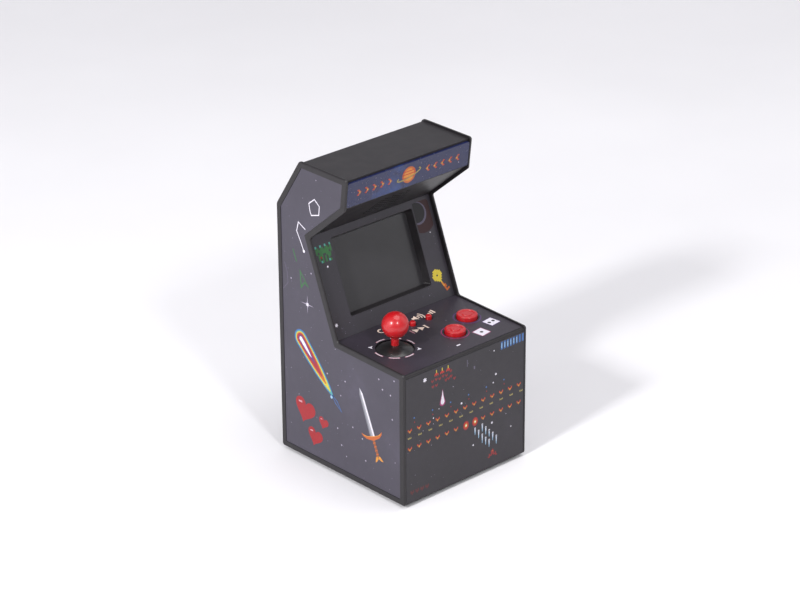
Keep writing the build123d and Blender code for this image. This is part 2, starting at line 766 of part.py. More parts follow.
board_front = frame_back - FRAME_WALL - MAIN_BOARD_GAP
board_mid = screen_mid + MAIN_BOARD_LIFT
standoffs = [
    (x, screen_mid + y)
    for x in (-STANDOFF_X, STANDOFF_X)
    for y in (-STANDOFF_SPREAD / 2, STANDOFF_SPREAD / 2)
]
with BuildPart() as lcd_frame:
    with BuildSketch(bezel.offset(frame_front)):
        with Locations((0, screen_mid)):
            Rectangle(pocket_w + 2 * FRAME_WALL, pocket_h + 2 * FRAME_WALL)
    extrude(amount=frame_back - FRAME_WALL - frame_front)
    with BuildSketch(bezel.offset(ear_front)):
        with Locations(*ear_places):
            Rectangle(2 * POST_R + FRAME_WALL, 2 * POST_R)
    extrude(amount=-FRAME_EAR_THICKNESS)
    with BuildSketch(bezel.offset(frame_front)):
        with Locations((0, screen_mid)):
            Rectangle(pocket_w, pocket_h)
    extrude(amount=frame_back - frame_front, mode=Mode.SUBTRACT)
    with BuildSketch(bezel.offset(frame_front)):
        with Locations((0, screen_mid)):
            Rectangle(pocket_w * FRAME_OPENING[0], pocket_h * FRAME_OPENING[1])
        with Locations(*ear_places):
            Circle(CLEAR_R)
    extrude(amount=2 * frame_back, mode=Mode.SUBTRACT)
    with BuildSketch(bezel.offset(frame_front)):
        with Locations((0, screen_mid - pocket_h / 2)):
            Rectangle(SCREEN_RIBBON_W + 2, 4 * FRAME_WALL)
    extrude(amount=frame_back - FRAME_WALL - frame_front, mode=Mode.SUBTRACT)
    with BuildSketch(bezel.offset(frame_back - FRAME_WALL)):
        with Locations(*standoffs):
            Circle(STANDOFF_R)
    extrude(amount=-MAIN_BOARD_GAP)
    with BuildSketch(bezel.offset(board_front)):
        with Locations(*standoffs):
            Circle(THREAD_R + THREAD_GAP)
    extrude(amount=POST_PILOT, mode=Mode.SUBTRACT)
save(lcd_frame.part, "lcd_frame")

with BuildPart() as main_board:
    with BuildSketch(bezel.offset(board_front)):
        with Locations((0, board_mid)):
            Rectangle(MAIN_BOARD_W, MAIN_BOARD_H)
        with Locations(*standoffs):
            Circle(CLEAR_R, mode=Mode.SUBTRACT)
    extrude(amount=-BOARD_THICKNESS)
save(main_board.part, "main_board")

board_back = board_front - BOARD_THICKNESS
board_low = board_mid - MAIN_BOARD_H / 2
with BuildPart() as board_chips:
    with BuildSketch(bezel.offset(board_back)):
        for x, y, width, height in CHIPS:
            with Locations((x, board_mid + y)):
                Rectangle(width, height)
    extrude(amount=-CHIP_HEIGHT)
    with BuildSketch(bezel.offset(board_back)):
        with Locations(*[(x, board_mid + y) for x, y in CAPACITORS]):
            Circle(CAPACITOR_R)
    extrude(amount=-CAPACITOR_HEIGHT)
save(board_chips.part, "board_chips")

section = Plane(origin=bezel.origin, x_dir=bezel.y_dir, z_dir=(1, 0, 0))
lcd_low = screen_mid - LCD_H / 2
ribbon_turn = min(lcd_low, board_low) - RIBBON_SLACK
lcd_middle = frame_front - WINDOW_THICKNESS - LCD_THICKNESS / 2
board_middle = board_front - BOARD_THICKNESS / 2
screen_route = [
    (lcd_low, lcd_middle),
    (ribbon_turn, lcd_middle),
    (ribbon_turn, board_middle),
    (board_low, board_middle),
]
save(ribbon(screen_route, RIBBON_SLACK / 2, section, SCREEN_RIBBON_W), "screen_ribbon")

# ---- speaker behind the brow ----
with BuildPart() as speaker:
    with BuildSketch(grille.offset(-WALL)):
        Circle(SPEAKER_R)
    extrude(amount=-SPEAKER_RIM_DEPTH)
    with BuildSketch(grille.offset(-WALL)):
        Circle(SPEAKER_MAGNET_R)
    extrude(amount=-SPEAKER_DEPTH)
save(speaker.part, "speaker")

with BuildPart() as speaker_ring:
    with BuildSketch(grille.offset(-WALL)):
        Circle(SPEAKER_R + SPEAKER_RING)
        Circle(SPEAKER_R + FIT_GAP, mode=Mode.SUBTRACT)
    extrude(amount=-SPEAKER_RIM_DEPTH)
    with BuildSketch(grille.offset(-WALL - SPEAKER_RIM_DEPTH)):
        Circle(SPEAKER_R + SPEAKER_RING)
        Circle(SPEAKER_R - SPEAKER_RING, mode=Mode.SUBTRACT)
    extrude(amount=-SPEAKER_RING)
save(speaker_ring.part, "speaker_ring")

# ---- play buttons, small buttons, their domes and board ----
stem_end = BUTTON_BOARD_DEPTH - DOME_HEIGHT - DOME_GAP
flange_top = WALL + MOVING_GAP


def round_button(place, radius, height, flange, flange_height, stem_r, edge_round, dish):
    """Push button: a round cap through the deck, a flange that keeps it in, and a stem to its dome."""
    at = on_plane(deck, *place)
    with BuildPart() as button:
        with BuildSketch(at.offset(-flange_top)):
            Circle(radius)
        extrude(amount=flange_top + height)
        fillet(button.edges().group_by(Axis(at.origin, at.z_dir))[-1], edge_round)
        with BuildSketch(at.offset(-flange_top - flange_height)):
            Circle(radius + flange)
        extrude(amount=flange_height)
        with BuildSketch(at.offset(-stem_end)):
            Circle(stem_r)
        extrude(amount=stem_end - flange_top)
        if dish:
            with BuildSketch(at.offset(height)):
                Circle(BUTTON_DISH_R)
                Circle(BUTTON_RING_R, mode=Mode.SUBTRACT)
            extrude(amount=-BUTTON_DISH, mode=Mode.SUBTRACT)
    return button.part


for name, place in (("button_a", BUTTON_A), ("button_b", BUTTON_B)):
    cap = (BUTTON_R, BUTTON_HEIGHT, BUTTON_FLANGE, BUTTON_FLANGE_HEIGHT)
    save(round_button(place, *cap, BUTTON_STEM_R, BUTTON_ROUND, True), name)

for name, place in SMALL_BUTTONS.items():
    cap = (SMALL_R, SMALL_HEIGHT, SMALL_FLANGE, SMALL_FLANGE_HEIGHT)
    save(round_button(place, *cap, SMALL_STEM_R, SMALL_ROUND, False), name)

button_board_top = deck.offset(-BUTTON_BOARD_DEPTH)
button_seats = [on_plane(button_board_top, *place) for place in button_places]
small_seats = [on_plane(button_board_top, *place) for place in small_places]
save(silicone_domes(button_seats, DOME_R, DOME_HEIGHT), "button_domes")
save(silicone_domes(small_seats, SMALL_DOME_R, DOME_HEIGHT), "small_button_domes")

board_left = BUTTON_POSTS[0][0] - POST_R - BOARD_LEFT_ROOM
board_right = BUTTON_POSTS[1][0] + POST_R + BOARD_EDGE
board_first = BUTTON_POSTS[0][1] - POST_R - BOARD_EDGE
board_last = BUTTON_POSTS[2][1] + POST_R + BOARD_EDGE
arm_left = SMALL_BUTTONS["reset_button"][0] - SMALL_DOME_R - ARM_ROOM
arm_first = STICK_AT[1] + HOUSING_INNER + HOUSING_WALL + BOARD_EDGE
with BuildPart() as button_board:
    with BuildSketch(button_board_top):
        with Locations(((board_left + board_right) / 2, (board_first + board_last) / 2)):
            Rectangle(board_right - board_left, board_last - board_first)
        with Locations(((arm_left + board_left) / 2, (arm_first + board_last) / 2)):
            Rectangle(board_left - arm_left, board_last - arm_first)
        with Locations(*BUTTON_POSTS):
            Circle(CLEAR_R, mode=Mode.SUBTRACT)
    extrude(amount=-BOARD_THICKNESS)
save(button_board.part, "button_board")

# ---- joystick: ball, stick and dome tilt in a gimbal inside a housing on its own board ----
ball_height = DUST_DOME_R - DUST_DOME_HEIGHT + BALL_ABOVE_DECK
ball_foot = ball_height - (BALL_R**2 - STICK_R**2) ** 0.5
collar_low = (DUST_DOME_R - DUST_DOME_WALL) - COLLAR_HEIGHT
rocker_low = ROCKER_TOP + ROCKER_THICKNESS


def disc_on(plane, radius, height):
    """Disc of a given height that starts at a plane."""
    with BuildSketch(plane) as disc:
        Circle(radius)
    extrude(disc.sketch, amount=height)


with BuildPart() as joystick_ball:
    with Locations(on_plane(pivot, 0, 0, ball_height)):
        Sphere(BALL_R)
    split(bisect_by=pivot.offset(ball_foot), keep=Keep.TOP)
    with BuildSketch(pivot.offset(ball_foot)):
        Circle(SPIGOT_R + THREAD_GAP)
    extrude(amount=SPIGOT_LENGTH + FIT_GAP, mode=Mode.SUBTRACT)
save(joystick_ball.part, "joystick_ball")

with BuildPart() as joystick_stick:
    with Locations(pivot):
        Sphere(HUB_R)
    disc_on(pivot.offset(-ROCKER_TOP), STICK_R, ball_foot + ROCKER_TOP)
    disc_on(pivot.offset(ball_foot), SPIGOT_R, SPIGOT_LENGTH)
    disc_on(pivot.offset(-rocker_low), FOOT_SPIGOT_R, ROCKER_THICKNESS)
    disc_on(pivot.offset(collar_low - SHOULDER_HEIGHT), SHOULDER_R, SHOULDER_HEIGHT)
    with BuildSketch(Plane(origin=pivot.origin, x_dir=(1, 0, 0), z_dir=pivot.y_dir)):
        Circle(PIN_R)
    extrude(amount=GIMBAL_R - PIN_END_GAP, both=True)
save(joystick_stick.part, "joystick_stick")

dome_inner_r = DUST_DOME_R - DUST_DOME_WALL
stick_section = Plane(origin=pivot.origin, x_dir=(1, 0, 0), z_dir=pivot.y_dir * -1)
with BuildPart() as joystick_dust_dome:
    with BuildSketch(stick_section):
        with BuildLine():
            outer_arc = CenterArc((0, 0), DUST_DOME_R, 90 - DUST_DOME_ANGLE, DUST_DOME_ANGLE)
            inner_arc = CenterArc((0, 0), dome_inner_r, 90 - DUST_DOME_ANGLE, DUST_DOME_ANGLE)
            Line(outer_arc @ 0, inner_arc @ 0)
            Line(outer_arc @ 1, inner_arc @ 1)
        make_face()
    revolve(axis=Axis(pivot.origin, pivot.z_dir))
    disc_on(pivot.offset(collar_low), COLLAR_R, dome_inner_r + DUST_DOME_WALL / 2 - collar_low)
    with BuildSketch(pivot):
        Circle(STICK_R + THREAD_GAP)
    extrude(amount=2 * DUST_DOME_R, mode=Mode.SUBTRACT)
save(joystick_dust_dome.part, "joystick_dust_dome")

with BuildPart() as joystick_rocker:
    disc_on(pivot.offset(-rocker_low), ROCKER_R, ROCKER_RIM)
    disc_on(pivot.offset(-rocker_low), ROCKER_HUB_R, ROCKER_THICKNESS)
    with BuildSketch(pivot.offset(-rocker_low)):
        Circle(FOOT_SPIGOT_R + THREAD_GAP)
    extrude(amount=ROCKER_THICKNESS, mode=Mode.SUBTRACT)
save(joystick_rocker.part, "joystick_rocker")

fore_aft = Plane(origin=pivot.origin, x_dir=(1, 0, 0), z_dir=pivot.y_dir)
across = Plane(origin=pivot.origin, x_dir=pivot.y_dir, z_dir=(1, 0, 0))
trunnion_end = HOUSING_INNER + HOUSING_WALL - PIN_END_GAP
with BuildPart() as joystick_gimbal:
    with BuildSketch(across):
        Circle(PIN_R)
    extrude(amount=trunnion_end, both=True)
    disc_on(pivot.offset(-GIMBAL_HEIGHT / 2), GIMBAL_R, GIMBAL_HEIGHT)
    with BuildSketch(pivot.offset(-GIMBAL_HEIGHT / 2)):
        Circle(GIMBAL_BORE_R)
    extrude(amount=GIMBAL_HEIGHT, mode=Mode.SUBTRACT)
    with BuildSketch(fore_aft):
        Circle(PIN_R + PIN_GAP)
    extrude(amount=2 * GIMBAL_R, both=True, mode=Mode.SUBTRACT)
save(joystick_gimbal.part, "joystick_gimbal")

housing_side = 2 * (HOUSING_INNER + HOUSING_WALL)
with BuildPart() as joystick_housing:
    with BuildSketch(pivot.offset(-STICK_BOARD_DROP)):
        Rectangle(housing_side, housing_side)
        Rectangle(2 * HOUSING_INNER, 2 * HOUSING_INNER, mode=Mode.SUBTRACT)
    extrude(amount=STICK_BOARD_DROP + HOUSING_ABOVE)
    with BuildSketch(across):
        Circle(PIN_R + PIN_GAP)
    extrude(amount=housing_side, both=True, mode=Mode.SUBTRACT)
save(joystick_housing.part, "joystick_housing")

stick_board_top = pivot.offset(-STICK_BOARD_DROP)
post_reach = max(max(abs(x), abs(y)) for x, y in STICK_POSTS) + STICK_BOARD_MARGIN
with BuildPart() as joystick_board:
    with BuildSketch(stick_board_top):
        Rectangle(2 * post_reach, 2 * post_reach)
        with Locations(*STICK_POSTS):
            Circle(CLEAR_R, mode=Mode.SUBTRACT)
    extrude(amount=-BOARD_THICKNESS)
save(joystick_board.part, "joystick_board")

dome_seats = [
    on_plane(stick_board_top, *place)
    for place in (
        (STICK_DOME_RING, 0), (-STICK_DOME_RING, 0), (0, STICK_DOME_RING), (0, -STICK_DOME_RING)
    )
]
save(silicone_domes(dome_seats, STICK_DOME_R, STICK_DOME_HEIGHT), "joystick_domes")

# ---- ribbons between the boards ----
edge_depth = BUTTON_BOARD_DEPTH + BOARD_THICKNESS / 2
panel_edge = deck.from_local_coords((0, board_last, -edge_depth))
main_edge = bezel.from_local_coords((0, board_low, board_middle))
bend = main_edge - bezel.y_dir * ((main_edge.Z - panel_edge.Z) / bezel.y_dir.Z)
control_route = [(panel_edge.Y, panel_edge.Z), (bend.Y, bend.Z), (main_edge.Y, main_edge.Z)]
control_plane = Plane.YZ.offset(CONTROL_RIBBON_X)
save(ribbon(control_route, RIBBON_BEND, control_plane, CONTROL_RIBBON_W), "control_ribbon")

stick_edge = STICK_AT[0] + post_reach
stick_ribbon_x = board_left + RIBBON_SLACK
stick_route = [
    (stick_edge, BOARD_THICKNESS / -2 - stick_board_depth),
    (stick_ribbon_x, BOARD_THICKNESS / -2 - stick_board_depth),
    (stick_ribbon_x, -BUTTON_BOARD_DEPTH - BOARD_THICKNESS),
]
stick_ribbon_plane = Plane(
    origin=deck.from_local_coords((0, STICK_AT[1], 0)), x_dir=(1, 0, 0), z_dir=deck.y_dir * -1
)
save(ribbon(stick_route, RIBBON_BEND, stick_ribbon_plane, CONTROL_RIBBON_W), "joystick_ribbon")

# ---- inner screws: LCD frame, main board, button board and joystick board ----
inner_seats = [
    Plane(origin=bezel.from_local_coords((x, y, frame_back)), z_dir=bezel.z_dir * -1) for x, y in ear_places
]
inner_seats += [
    Plane(origin=bezel.from_local_coords((x, y, board_back)), z_dir=bezel.z_dir * -1) for x, y in standoffs
]
inner_seats += [
    Plane(
        origin=deck.from_local_coords((x, y, -BUTTON_BOARD_DEPTH - BOARD_THICKNESS)), z_dir=deck.z_dir * -1
    )
    for x, y in BUTTON_POSTS
]
inner_seats += [
    Plane(
        origin=deck.from_local_coords((x, y, -stick_board_depth - BOARD_THICKNESS)), z_dir=deck.z_dir * -1
    )
    for x, y in stick_posts
]
save(screws(inner_seats, BOARD_SCREW), "inner_screws")

# ---- battery box, contacts and springs ----
with BuildPart() as battery_box:
    with BuildSketch(Plane.XZ.offset(-wall_inside)):
        with Locations((0, bay_mid_z)):
            Rectangle(bay_length + 2 * BAY_WALL, bay_height + 2 * BAY_WALL)
    extrude(amount=BAY_DEPTH + BAY_BACK)
    with BuildSketch(Plane.XZ.offset(-wall_inside)):
        with Locations((0, bay_mid_z)):
            Rectangle(bay_length, bay_height)
    extrude(amount=BAY_DEPTH, mode=Mode.SUBTRACT)
save(battery_box.part, "battery_box")

cell_rows = [BAY_LOW_Z + CELL_PITCH * (row + 0.5) for row in range(CELL_COUNT)]
cell_y = wall_inside - BAY_DEPTH / 2
with BuildPart() as battery_contacts:
    for side in (-1, 1):
        with BuildSketch(Plane.YZ.offset(side * bay_length / 2)):
            with Locations(*[(cell_y, z) for z in cell_rows]):
                RectangleRounded(CONTACT_SIZE, CONTACT_SIZE, CONTACT_SIZE / 6)
        extrude(amount=-side * CONTACT)
save(battery_contacts.part, "battery_contacts")

with BuildPart() as battery_springs:
    for row, z in enumerate(cell_rows):
        side = 1 if row % 2 else -1
        start = (side * (bay_length / 2 - CONTACT - SPRING_WIRE_R), cell_y, z)
        with BuildLine():
            coil = Helix(
                pitch=SPRING_PITCH,
                height=SPRING_LENGTH,
                radius=SPRING_R,
                center=start,
                direction=(-side, 0, 0),
            )
        with BuildSketch(Plane(origin=coil @ 0, z_dir=coil % 0)):
            Circle(SPRING_WIRE_R)
        sweep()
save(battery_springs.part, "battery_springs")

# ---- battery door and its captive screw ----
with BuildPart() as battery_door:
    with BuildSketch(Plane.XZ.offset(-shell_back)):
        door_shape(0)
    extrude(amount=DOOR_THICKNESS)
    with BuildSketch(Plane.XZ.offset(-shell_back)):
        ear_shape(0)
    extrude(amount=DOOR_EAR_THICKNESS)
    with BuildSketch(Plane.XZ.offset(DOOR_THICKNESS - shell_back)):
        with GridLocations(bay_length - 3 * DOOR_RIB, 0, 2, 1):
            with Locations((0, bay_mid_z)):
                Rectangle(DOOR_RIB, bay_height - 4 * DOOR_RIB)
    extrude(amount=DOOR_RIB)
    with BuildSketch(Plane.XZ.offset(-shell_back)):
        with Locations((0, ear_z)):
            Circle(THREAD_R + THREAD_GAP)
    extrude(amount=DOOR_EAR_THICKNESS, mode=Mode.SUBTRACT)
    with BuildSketch(Plane.XZ.offset(-shell_back)):
        with Locations((0, bay_mid_z)):
            with GridLocations(0, GRIP_PITCH, 1, GRIP_COUNT):
                SlotOverall(GRIP_LENGTH, GRIP_WIDTH)
    extrude(amount=GRIP_DEPTH, mode=Mode.SUBTRACT)
save(battery_door.part, "battery_door")

door_seat = Plane(origin=(0, shell_back, ear_z), z_dir=(0, 1, 0))
door_screw = screws([door_seat], DOOR_SCREW, RIM_PROUD - FIT_GAP * 2)
save(door_screw, "battery_door_screw")

# ---- power switch ----
switch_x, switch_z = SWITCH_AT
knob_x = switch_x - KNOB_TRAVEL / 2
knob_low = wall_inside - SWITCH_DEPTH / 2
with BuildPart() as power_switch:
    with BuildSketch(Plane.XZ.offset(-wall_inside)):
        with Locations(SWITCH_AT):
            Rectangle(SWITCH_W, SWITCH_H)
    extrude(amount=SWITCH_DEPTH)
    with BuildSketch(Plane.XZ.offset(-wall_inside)):
        with Locations(SWITCH_AT):
            Rectangle(SWITCH_SLOT_W, SWITCH_SLOT_H)
    extrude(amount=SWITCH_DEPTH / 2 + MOVING_GAP, mode=Mode.SUBTRACT)
save(power_switch.part, "power_switch")

with BuildPart() as power_switch_knob:
    with BuildSketch(Plane.XZ.offset(-knob_low)):
        with Locations((knob_x, switch_z)):
            Rectangle(KNOB_W, SWITCH_SLOT_H - 2 * MOVING_GAP)
    extrude(amount=knob_low - shell_back - KNOB_PROUD)
    with BuildSketch(Plane.XZ.offset(-shell_back - KNOB_PROUD)):
        with Locations((knob_x, switch_z)):
            with GridLocations(KNOB_W / KNOB_GROOVES, 0, KNOB_GROOVES, 1):
                Rectangle(KNOB_GROOVE, SWITCH_SLOT_H)
    extrude(amount=KNOB_GROOVE_DEPTH, mode=Mode.SUBTRACT)
save(power_switch_knob.part, "power_switch_knob")

# ---- leads from the battery box and from the speaker to the main board ----
battery_plug = bezel.from_local_coords((LEAD_X, board_low + LEAD_PLUG, board_back))
battery_turn = battery_plug - bezel.z_dir * LEAD_RUN
bay_top = bay_mid_z + bay_height / 2 + BAY_WALL
battery_route = [
    (LEAD_X, battery_plug.Y, battery_plug.Z),
    (LEAD_X, battery_turn.Y, battery_turn.Z),
    (LEAD_X, battery_turn.Y, bay_top),
]
save(leads(battery_route, LEAD_BEND), "battery_leads")

speaker_back = grille.from_local_coords((0, 0, -WALL - SPEAKER_DEPTH))
speaker_turn = speaker_back - brow.z_dir * LEAD_RUN
speaker_plug = bezel.from_local_coords((0, board_mid + MAIN_BOARD_H / 2 - LEAD_PLUG, board_back - LEAD_R))
plug_turn = speaker_plug + bezel.y_dir * LEAD_RUN
speaker_route = [
    (0, speaker_back.Y, speaker_back.Z),
    (0, speaker_turn.Y, speaker_turn.Z),
    (0, plug_turn.Y, plug_turn.Z),
    (0, speaker_plug.Y, speaker_plug.Z),
]
save(leads(speaker_route, LEAD_BEND), "speaker_leads")
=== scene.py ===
"""Looks of the palm-size arcade machine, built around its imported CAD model."""

import math
import random

import bpy
from mathutils import Matrix, Vector


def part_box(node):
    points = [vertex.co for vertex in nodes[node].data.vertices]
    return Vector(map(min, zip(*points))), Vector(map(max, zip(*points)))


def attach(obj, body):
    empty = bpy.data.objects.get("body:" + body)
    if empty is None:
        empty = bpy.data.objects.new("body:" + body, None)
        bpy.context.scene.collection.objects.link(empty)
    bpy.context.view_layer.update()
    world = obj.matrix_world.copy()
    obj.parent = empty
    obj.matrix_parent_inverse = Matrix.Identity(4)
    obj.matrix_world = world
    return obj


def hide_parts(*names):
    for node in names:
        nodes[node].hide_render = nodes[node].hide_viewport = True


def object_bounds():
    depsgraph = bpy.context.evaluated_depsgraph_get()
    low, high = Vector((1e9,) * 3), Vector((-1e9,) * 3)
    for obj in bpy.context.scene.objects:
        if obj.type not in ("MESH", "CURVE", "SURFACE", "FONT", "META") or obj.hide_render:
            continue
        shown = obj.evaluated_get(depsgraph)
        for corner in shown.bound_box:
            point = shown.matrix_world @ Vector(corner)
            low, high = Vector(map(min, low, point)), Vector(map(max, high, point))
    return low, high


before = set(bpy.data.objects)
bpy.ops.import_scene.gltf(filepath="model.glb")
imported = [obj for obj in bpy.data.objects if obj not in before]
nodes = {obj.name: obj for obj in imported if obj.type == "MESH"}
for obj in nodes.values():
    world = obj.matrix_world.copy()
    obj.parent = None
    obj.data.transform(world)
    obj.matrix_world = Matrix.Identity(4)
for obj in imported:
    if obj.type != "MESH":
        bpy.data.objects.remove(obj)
cad_low, cad_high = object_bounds()

MM = 0.001

# ---- camera: the photograph's viewing angle ----
CAMERA_AT = (-0.8707, -0.9465, 0.6737)
LOOK = (0.61437, 0.66902, -0.41834)
ROLL = -0.40
LENS = 133.6

# ---- where the printed faces start, measured from the machine's own edges ----
DECK_MARGIN = 1.6
BEZEL_MARGIN = 0.17

# ---- places on the deck: x from the middle, y from the front edge ----
STICK_AT = (-22.3, 25.1)
BUTTON_A = (10.5, 18.5)
BUTTON_B = (26.0, 26.5)
RESET_SIGN = (-14.8, 42.6)
VOLUME_SIGN = (11.8, 42.2)
START_SIGN = (0.0, 32.2)
TILE_A = (20.2, 10.5)
TILE_B = (31.4, 15.4)

# ---- turned pieces: flange, stem and height values are from the deck moulding, angles in degrees ----
STICKER = 0.2
STICK_R = 1.85
STICK_FIT = 1.02
FLANGE_TOP = 2.3
FLANGE_BOTTOM = 3.0
STEM_END = 4.9
BUTTON_ROUND = 0.5
LARGE_BUTTON = {"radius": 5.1, "flange": 6.0, "height": 2.3, "stem": 2.0, "ringed": True}
SMALL_BUTTON = {"radius": 1.5, "flange": 2.1, "height": 2.0, "stem": 1.1, "ringed": False}
DOME_R = 17.5
DOME_HEIGHT = 2.2
DOME_WALL = 1.2
DOME_ANGLE = 49.0
DOME_HOLE_TAPER = 0.4

# ---- ring moulded into the top of the large buttons ----
RING_OUTER = 3.75
RING_INNER = 2.35
RING_SLOPE = 0.15
RING_DEPTH = 0.3

# ---- printing: the first layer of ink above its film, and each further layer above the last ----
INK = 0.02
INK_STEP = 0.012


def linear(colour):
    """Turn a display colour, 0 to 255 a channel, into the linear values that shaders take."""
    return tuple(((c / 255 + 0.055) / 1.055) ** 2.4 if c > 10 else c / 255 / 12.92 for c in colour)


# ---------------------------------------------------------------- materials


class Shader:
    """A material's node tree with short helpers."""

    def __init__(self, name):
        self.material = bpy.data.materials.new(name)
        self.material.use_nodes = True
        self.tree = self.material.node_tree
        self.bsdf = self.tree.nodes["Principled BSDF"]
        self.place = self.add("ShaderNodeTexCoord").outputs["Object"]

    def add(self, kind, **values):
        node = self.tree.nodes.new(kind)
        for key, value in values.items():
            setattr(node, key, value)
        return node

    def link(self, source, target):
        self.tree.links.new(source, target)

    def set(self, **sockets):
        for name, value in sockets.items():
            self.bsdf.inputs[name.replace("_", " ")].default_value = value

    def noise(self, scale, detail=3.0, roughness=0.5):
        node = self.add("ShaderNodeTexNoise")
        node.inputs["Scale"].default_value = scale
        node.inputs["Detail"].default_value = detail
        node.inputs["Roughness"].default_value = roughness
        self.link(self.place, node.inputs["Vector"])
        return node.outputs["Fac"]

    def ramp(self, value, stops):
        node = self.add("ShaderNodeValToRGB")
        ramp = node.color_ramp
        while len(ramp.elements) < len(stops):
            ramp.elements.new(0.5)
        for element, (position, colour) in zip(ramp.elements, stops):
            element.position = position
            element.color = (*colour, 1.0)
        self.link(value, node.inputs["Fac"])
        return node.outputs["Color"]

    def spread(self, value, low, high):
        node = self.add("ShaderNodeMapRange")
        node.inputs["To Min"].default_value = low
        node.inputs["To Max"].default_value = high
        self.link(value, node.inputs["Value"])
        return node.outputs["Result"]

    def bump(self, value, strength, distance):
        node = self.add("ShaderNodeBump")
        node.inputs["Strength"].default_value = strength
        node.inputs["Distance"].default_value = distance
        self.link(value, node.inputs["Height"])
        return node.outputs["Normal"]

    def colour(self, source):
        self.link(source, self.bsdf.inputs["Base Color"])

    def roughness(self, source):
        self.link(source, self.bsdf.inputs["Roughness"])

    def normal(self, source):
        self.link(source, self.bsdf.inputs["Normal"])


def shade(colour, factor):
    """A linear colour made darker or lighter."""
    return tuple(min(1.0, c * factor) for c in colour)


def moulded(name, colour, rough, grain=0.12, grain_scale=3200.0):
    """Injection-moulded plastic: fine spark-eroded grain and slow changes of tone and gloss."""
    s = Shader(name)
    base = linear(colour)
    slow = s.noise(45.0, 4.0)
    s.colour(s.ramp(slow, [(0.25, shade(base, 0.82)), (0.75, shade(base, 1.18))]))
    s.roughness(s.spread(s.noise(160.0, 5.0), rough - 0.06, rough + 0.06))
    s.normal(s.bump(s.noise(grain_scale, 2.0), grain, 0.00004))
    return s.material


def glossy(name, colour, rough, coat=0.4, subsurface=0.0):
    """Polished plastic with faint swirl marks from handling."""
    s = Shader(name)
    base = linear(colour)
    s.colour(s.ramp(s.noise(90.0, 3.0), [(0.3, shade(base, 0.92)), (0.7, shade(base, 1.06))]))
    s.roughness(s.spread(s.noise(300.0, 4.0), rough - 0.02, rough + 0.03))
    s.set(Coat_Weight=coat, Coat_Roughness=0.12, Subsurface_Weight=subsurface, Subsurface_Scale=0.002)
    return s.material


def printed_film(name, colour, tint, rough=0.42):
    """Printed vinyl: a dark night-sky ground with drifting haze, fine film grain and a soft sheen."""
    s = Shader(name)
    base, haze = linear(colour), linear(tint)
    cloud = s.noise(26.0, 6.0, 0.62)
    s.colour(s.ramp(cloud, [(0.34, shade(base, 0.86)), (0.56, base), (0.78, haze)]))
    s.roughness(s.spread(s.noise(300.0, 4.0), rough - 0.05, rough + 0.07))
    s.normal(s.bump(s.noise(5200.0, 2.0), 0.10, 0.00002))
    s.set(Coat_Weight=0.12, Coat_Roughness=0.3)
    return s.material


def ink(name, colour):
    """One printed colour, with the slight mottling of ink on vinyl."""
    s = Shader("ink_" + name)
    base = linear(colour)
    s.colour(s.ramp(s.noise(1500.0, 3.0), [(0.3, shade(base, 0.9)), (0.7, shade(base, 1.08))]))
    s.roughness(s.spread(s.noise(300.0, 4.0), 0.36, 0.48))
    return s.material


def metal(name, colour, rough):
    """Plated steel with fine brushed streaks."""
    s = Shader(name)
    base = linear(colour)
    s.colour(s.ramp(s.noise(500.0, 4.0), [(0.3, shade(base, 0.8)), (0.7, shade(base, 1.1))]))
    s.roughness(s.spread(s.noise(1800.0, 5.0), rough - 0.08, rough + 0.1))
    s.normal(s.bump(s.noise(2600.0, 2.0), 0.08, 0.00002))
    s.set(Metallic=1.0)
    return s.material


def clear_window(name):
    """Smoked acrylic with a faint haze of wiping marks."""
    s = Shader(name)
    s.colour(s.ramp(s.noise(60.0, 3.0), [(0.3, (0.030, 0.028, 0.031)), (0.7, (0.036, 0.034, 0.038))]))
    s.roughness(s.spread(s.noise(60.0, 4.0), 0.30, 0.36))
    s.set(Transmission_Weight=0.15, IOR=1.49, Coat_Weight=0.4, Coat_Roughness=0.15)
    return s.material


def circuit_board(name, colour):
    """Solder mask with copper tracks showing faintly through it."""
    s = Shader(name)
    base = linear(colour)
    tracks = s.add("ShaderNodeTexBrick")
    tracks.inputs["Scale"].default_value = 260.0
    tracks.inputs["Color1"].default_value = (*base, 1.0)
    tracks.inputs["Color2"].default_value = (*shade(base, 1.3), 1.0)
    tracks.inputs["Mortar"].default_value = (*shade(base, 2.2), 1.0)
    s.link(s.place, tracks.inputs["Vector"])
    s.colour(tracks.outputs["Color"])
    s.roughness(s.spread(s.noise(700.0), 0.25, 0.4))
    return s.material


BLACK = moulded("black_abs", (27, 24, 27), 0.46)
DARK_PRINT = printed_film("deck_print", (48, 43, 52), (58, 52, 64))
SIDE_PRINT = printed_film("side_print", (60, 56, 69), (72, 67, 84))
# The front carries the same printed film as the sides. It is coloured darker as painted shade for the weaker
# light on the front.
FRONT_PRINT_AS_PAINTED_SHADE = printed_film("front_print", (34, 30, 37), (43, 38, 48), 0.5)
BEZEL_PRINT = printed_film("bezel_print", (50, 47, 54), (60, 55, 66))
MARQUEE_PRINT = printed_film("marquee_print", (28, 34, 74), (44, 88, 160), 0.25)
RED = glossy("red_plastic", (178, 18, 26), 0.3, coat=0.35, subsurface=0.05)
GLOSS_BLACK = glossy("gloss_black", (30, 29, 30), 0.32, coat=0.3)
WHITE_PLASTIC = moulded("white_acetal", (214, 212, 206), 0.4, grain=0.06)
RUBBER = moulded("foot_rubber", (34, 33, 34), 0.75, grain=0.3)
SILICONE = moulded("silicone", (170, 168, 166), 0.55, grain=0.1)
CHIP = moulded("chip_black", (30, 30, 32), 0.6, grain=0.2)
CONE = moulded("speaker_cone", (40, 38, 38), 0.8, grain=0.4, grain_scale=1400.0)
CABLE = glossy("cable_red", (150, 24, 22), 0.4, coat=0.1)
RIBBON_FILM = glossy("ribbon_film", (196, 130, 44), 0.3, coat=0.2)
STEEL = metal("plated_steel", (178, 178, 182), 0.32)
WINDOW = clear_window("smoked_window")
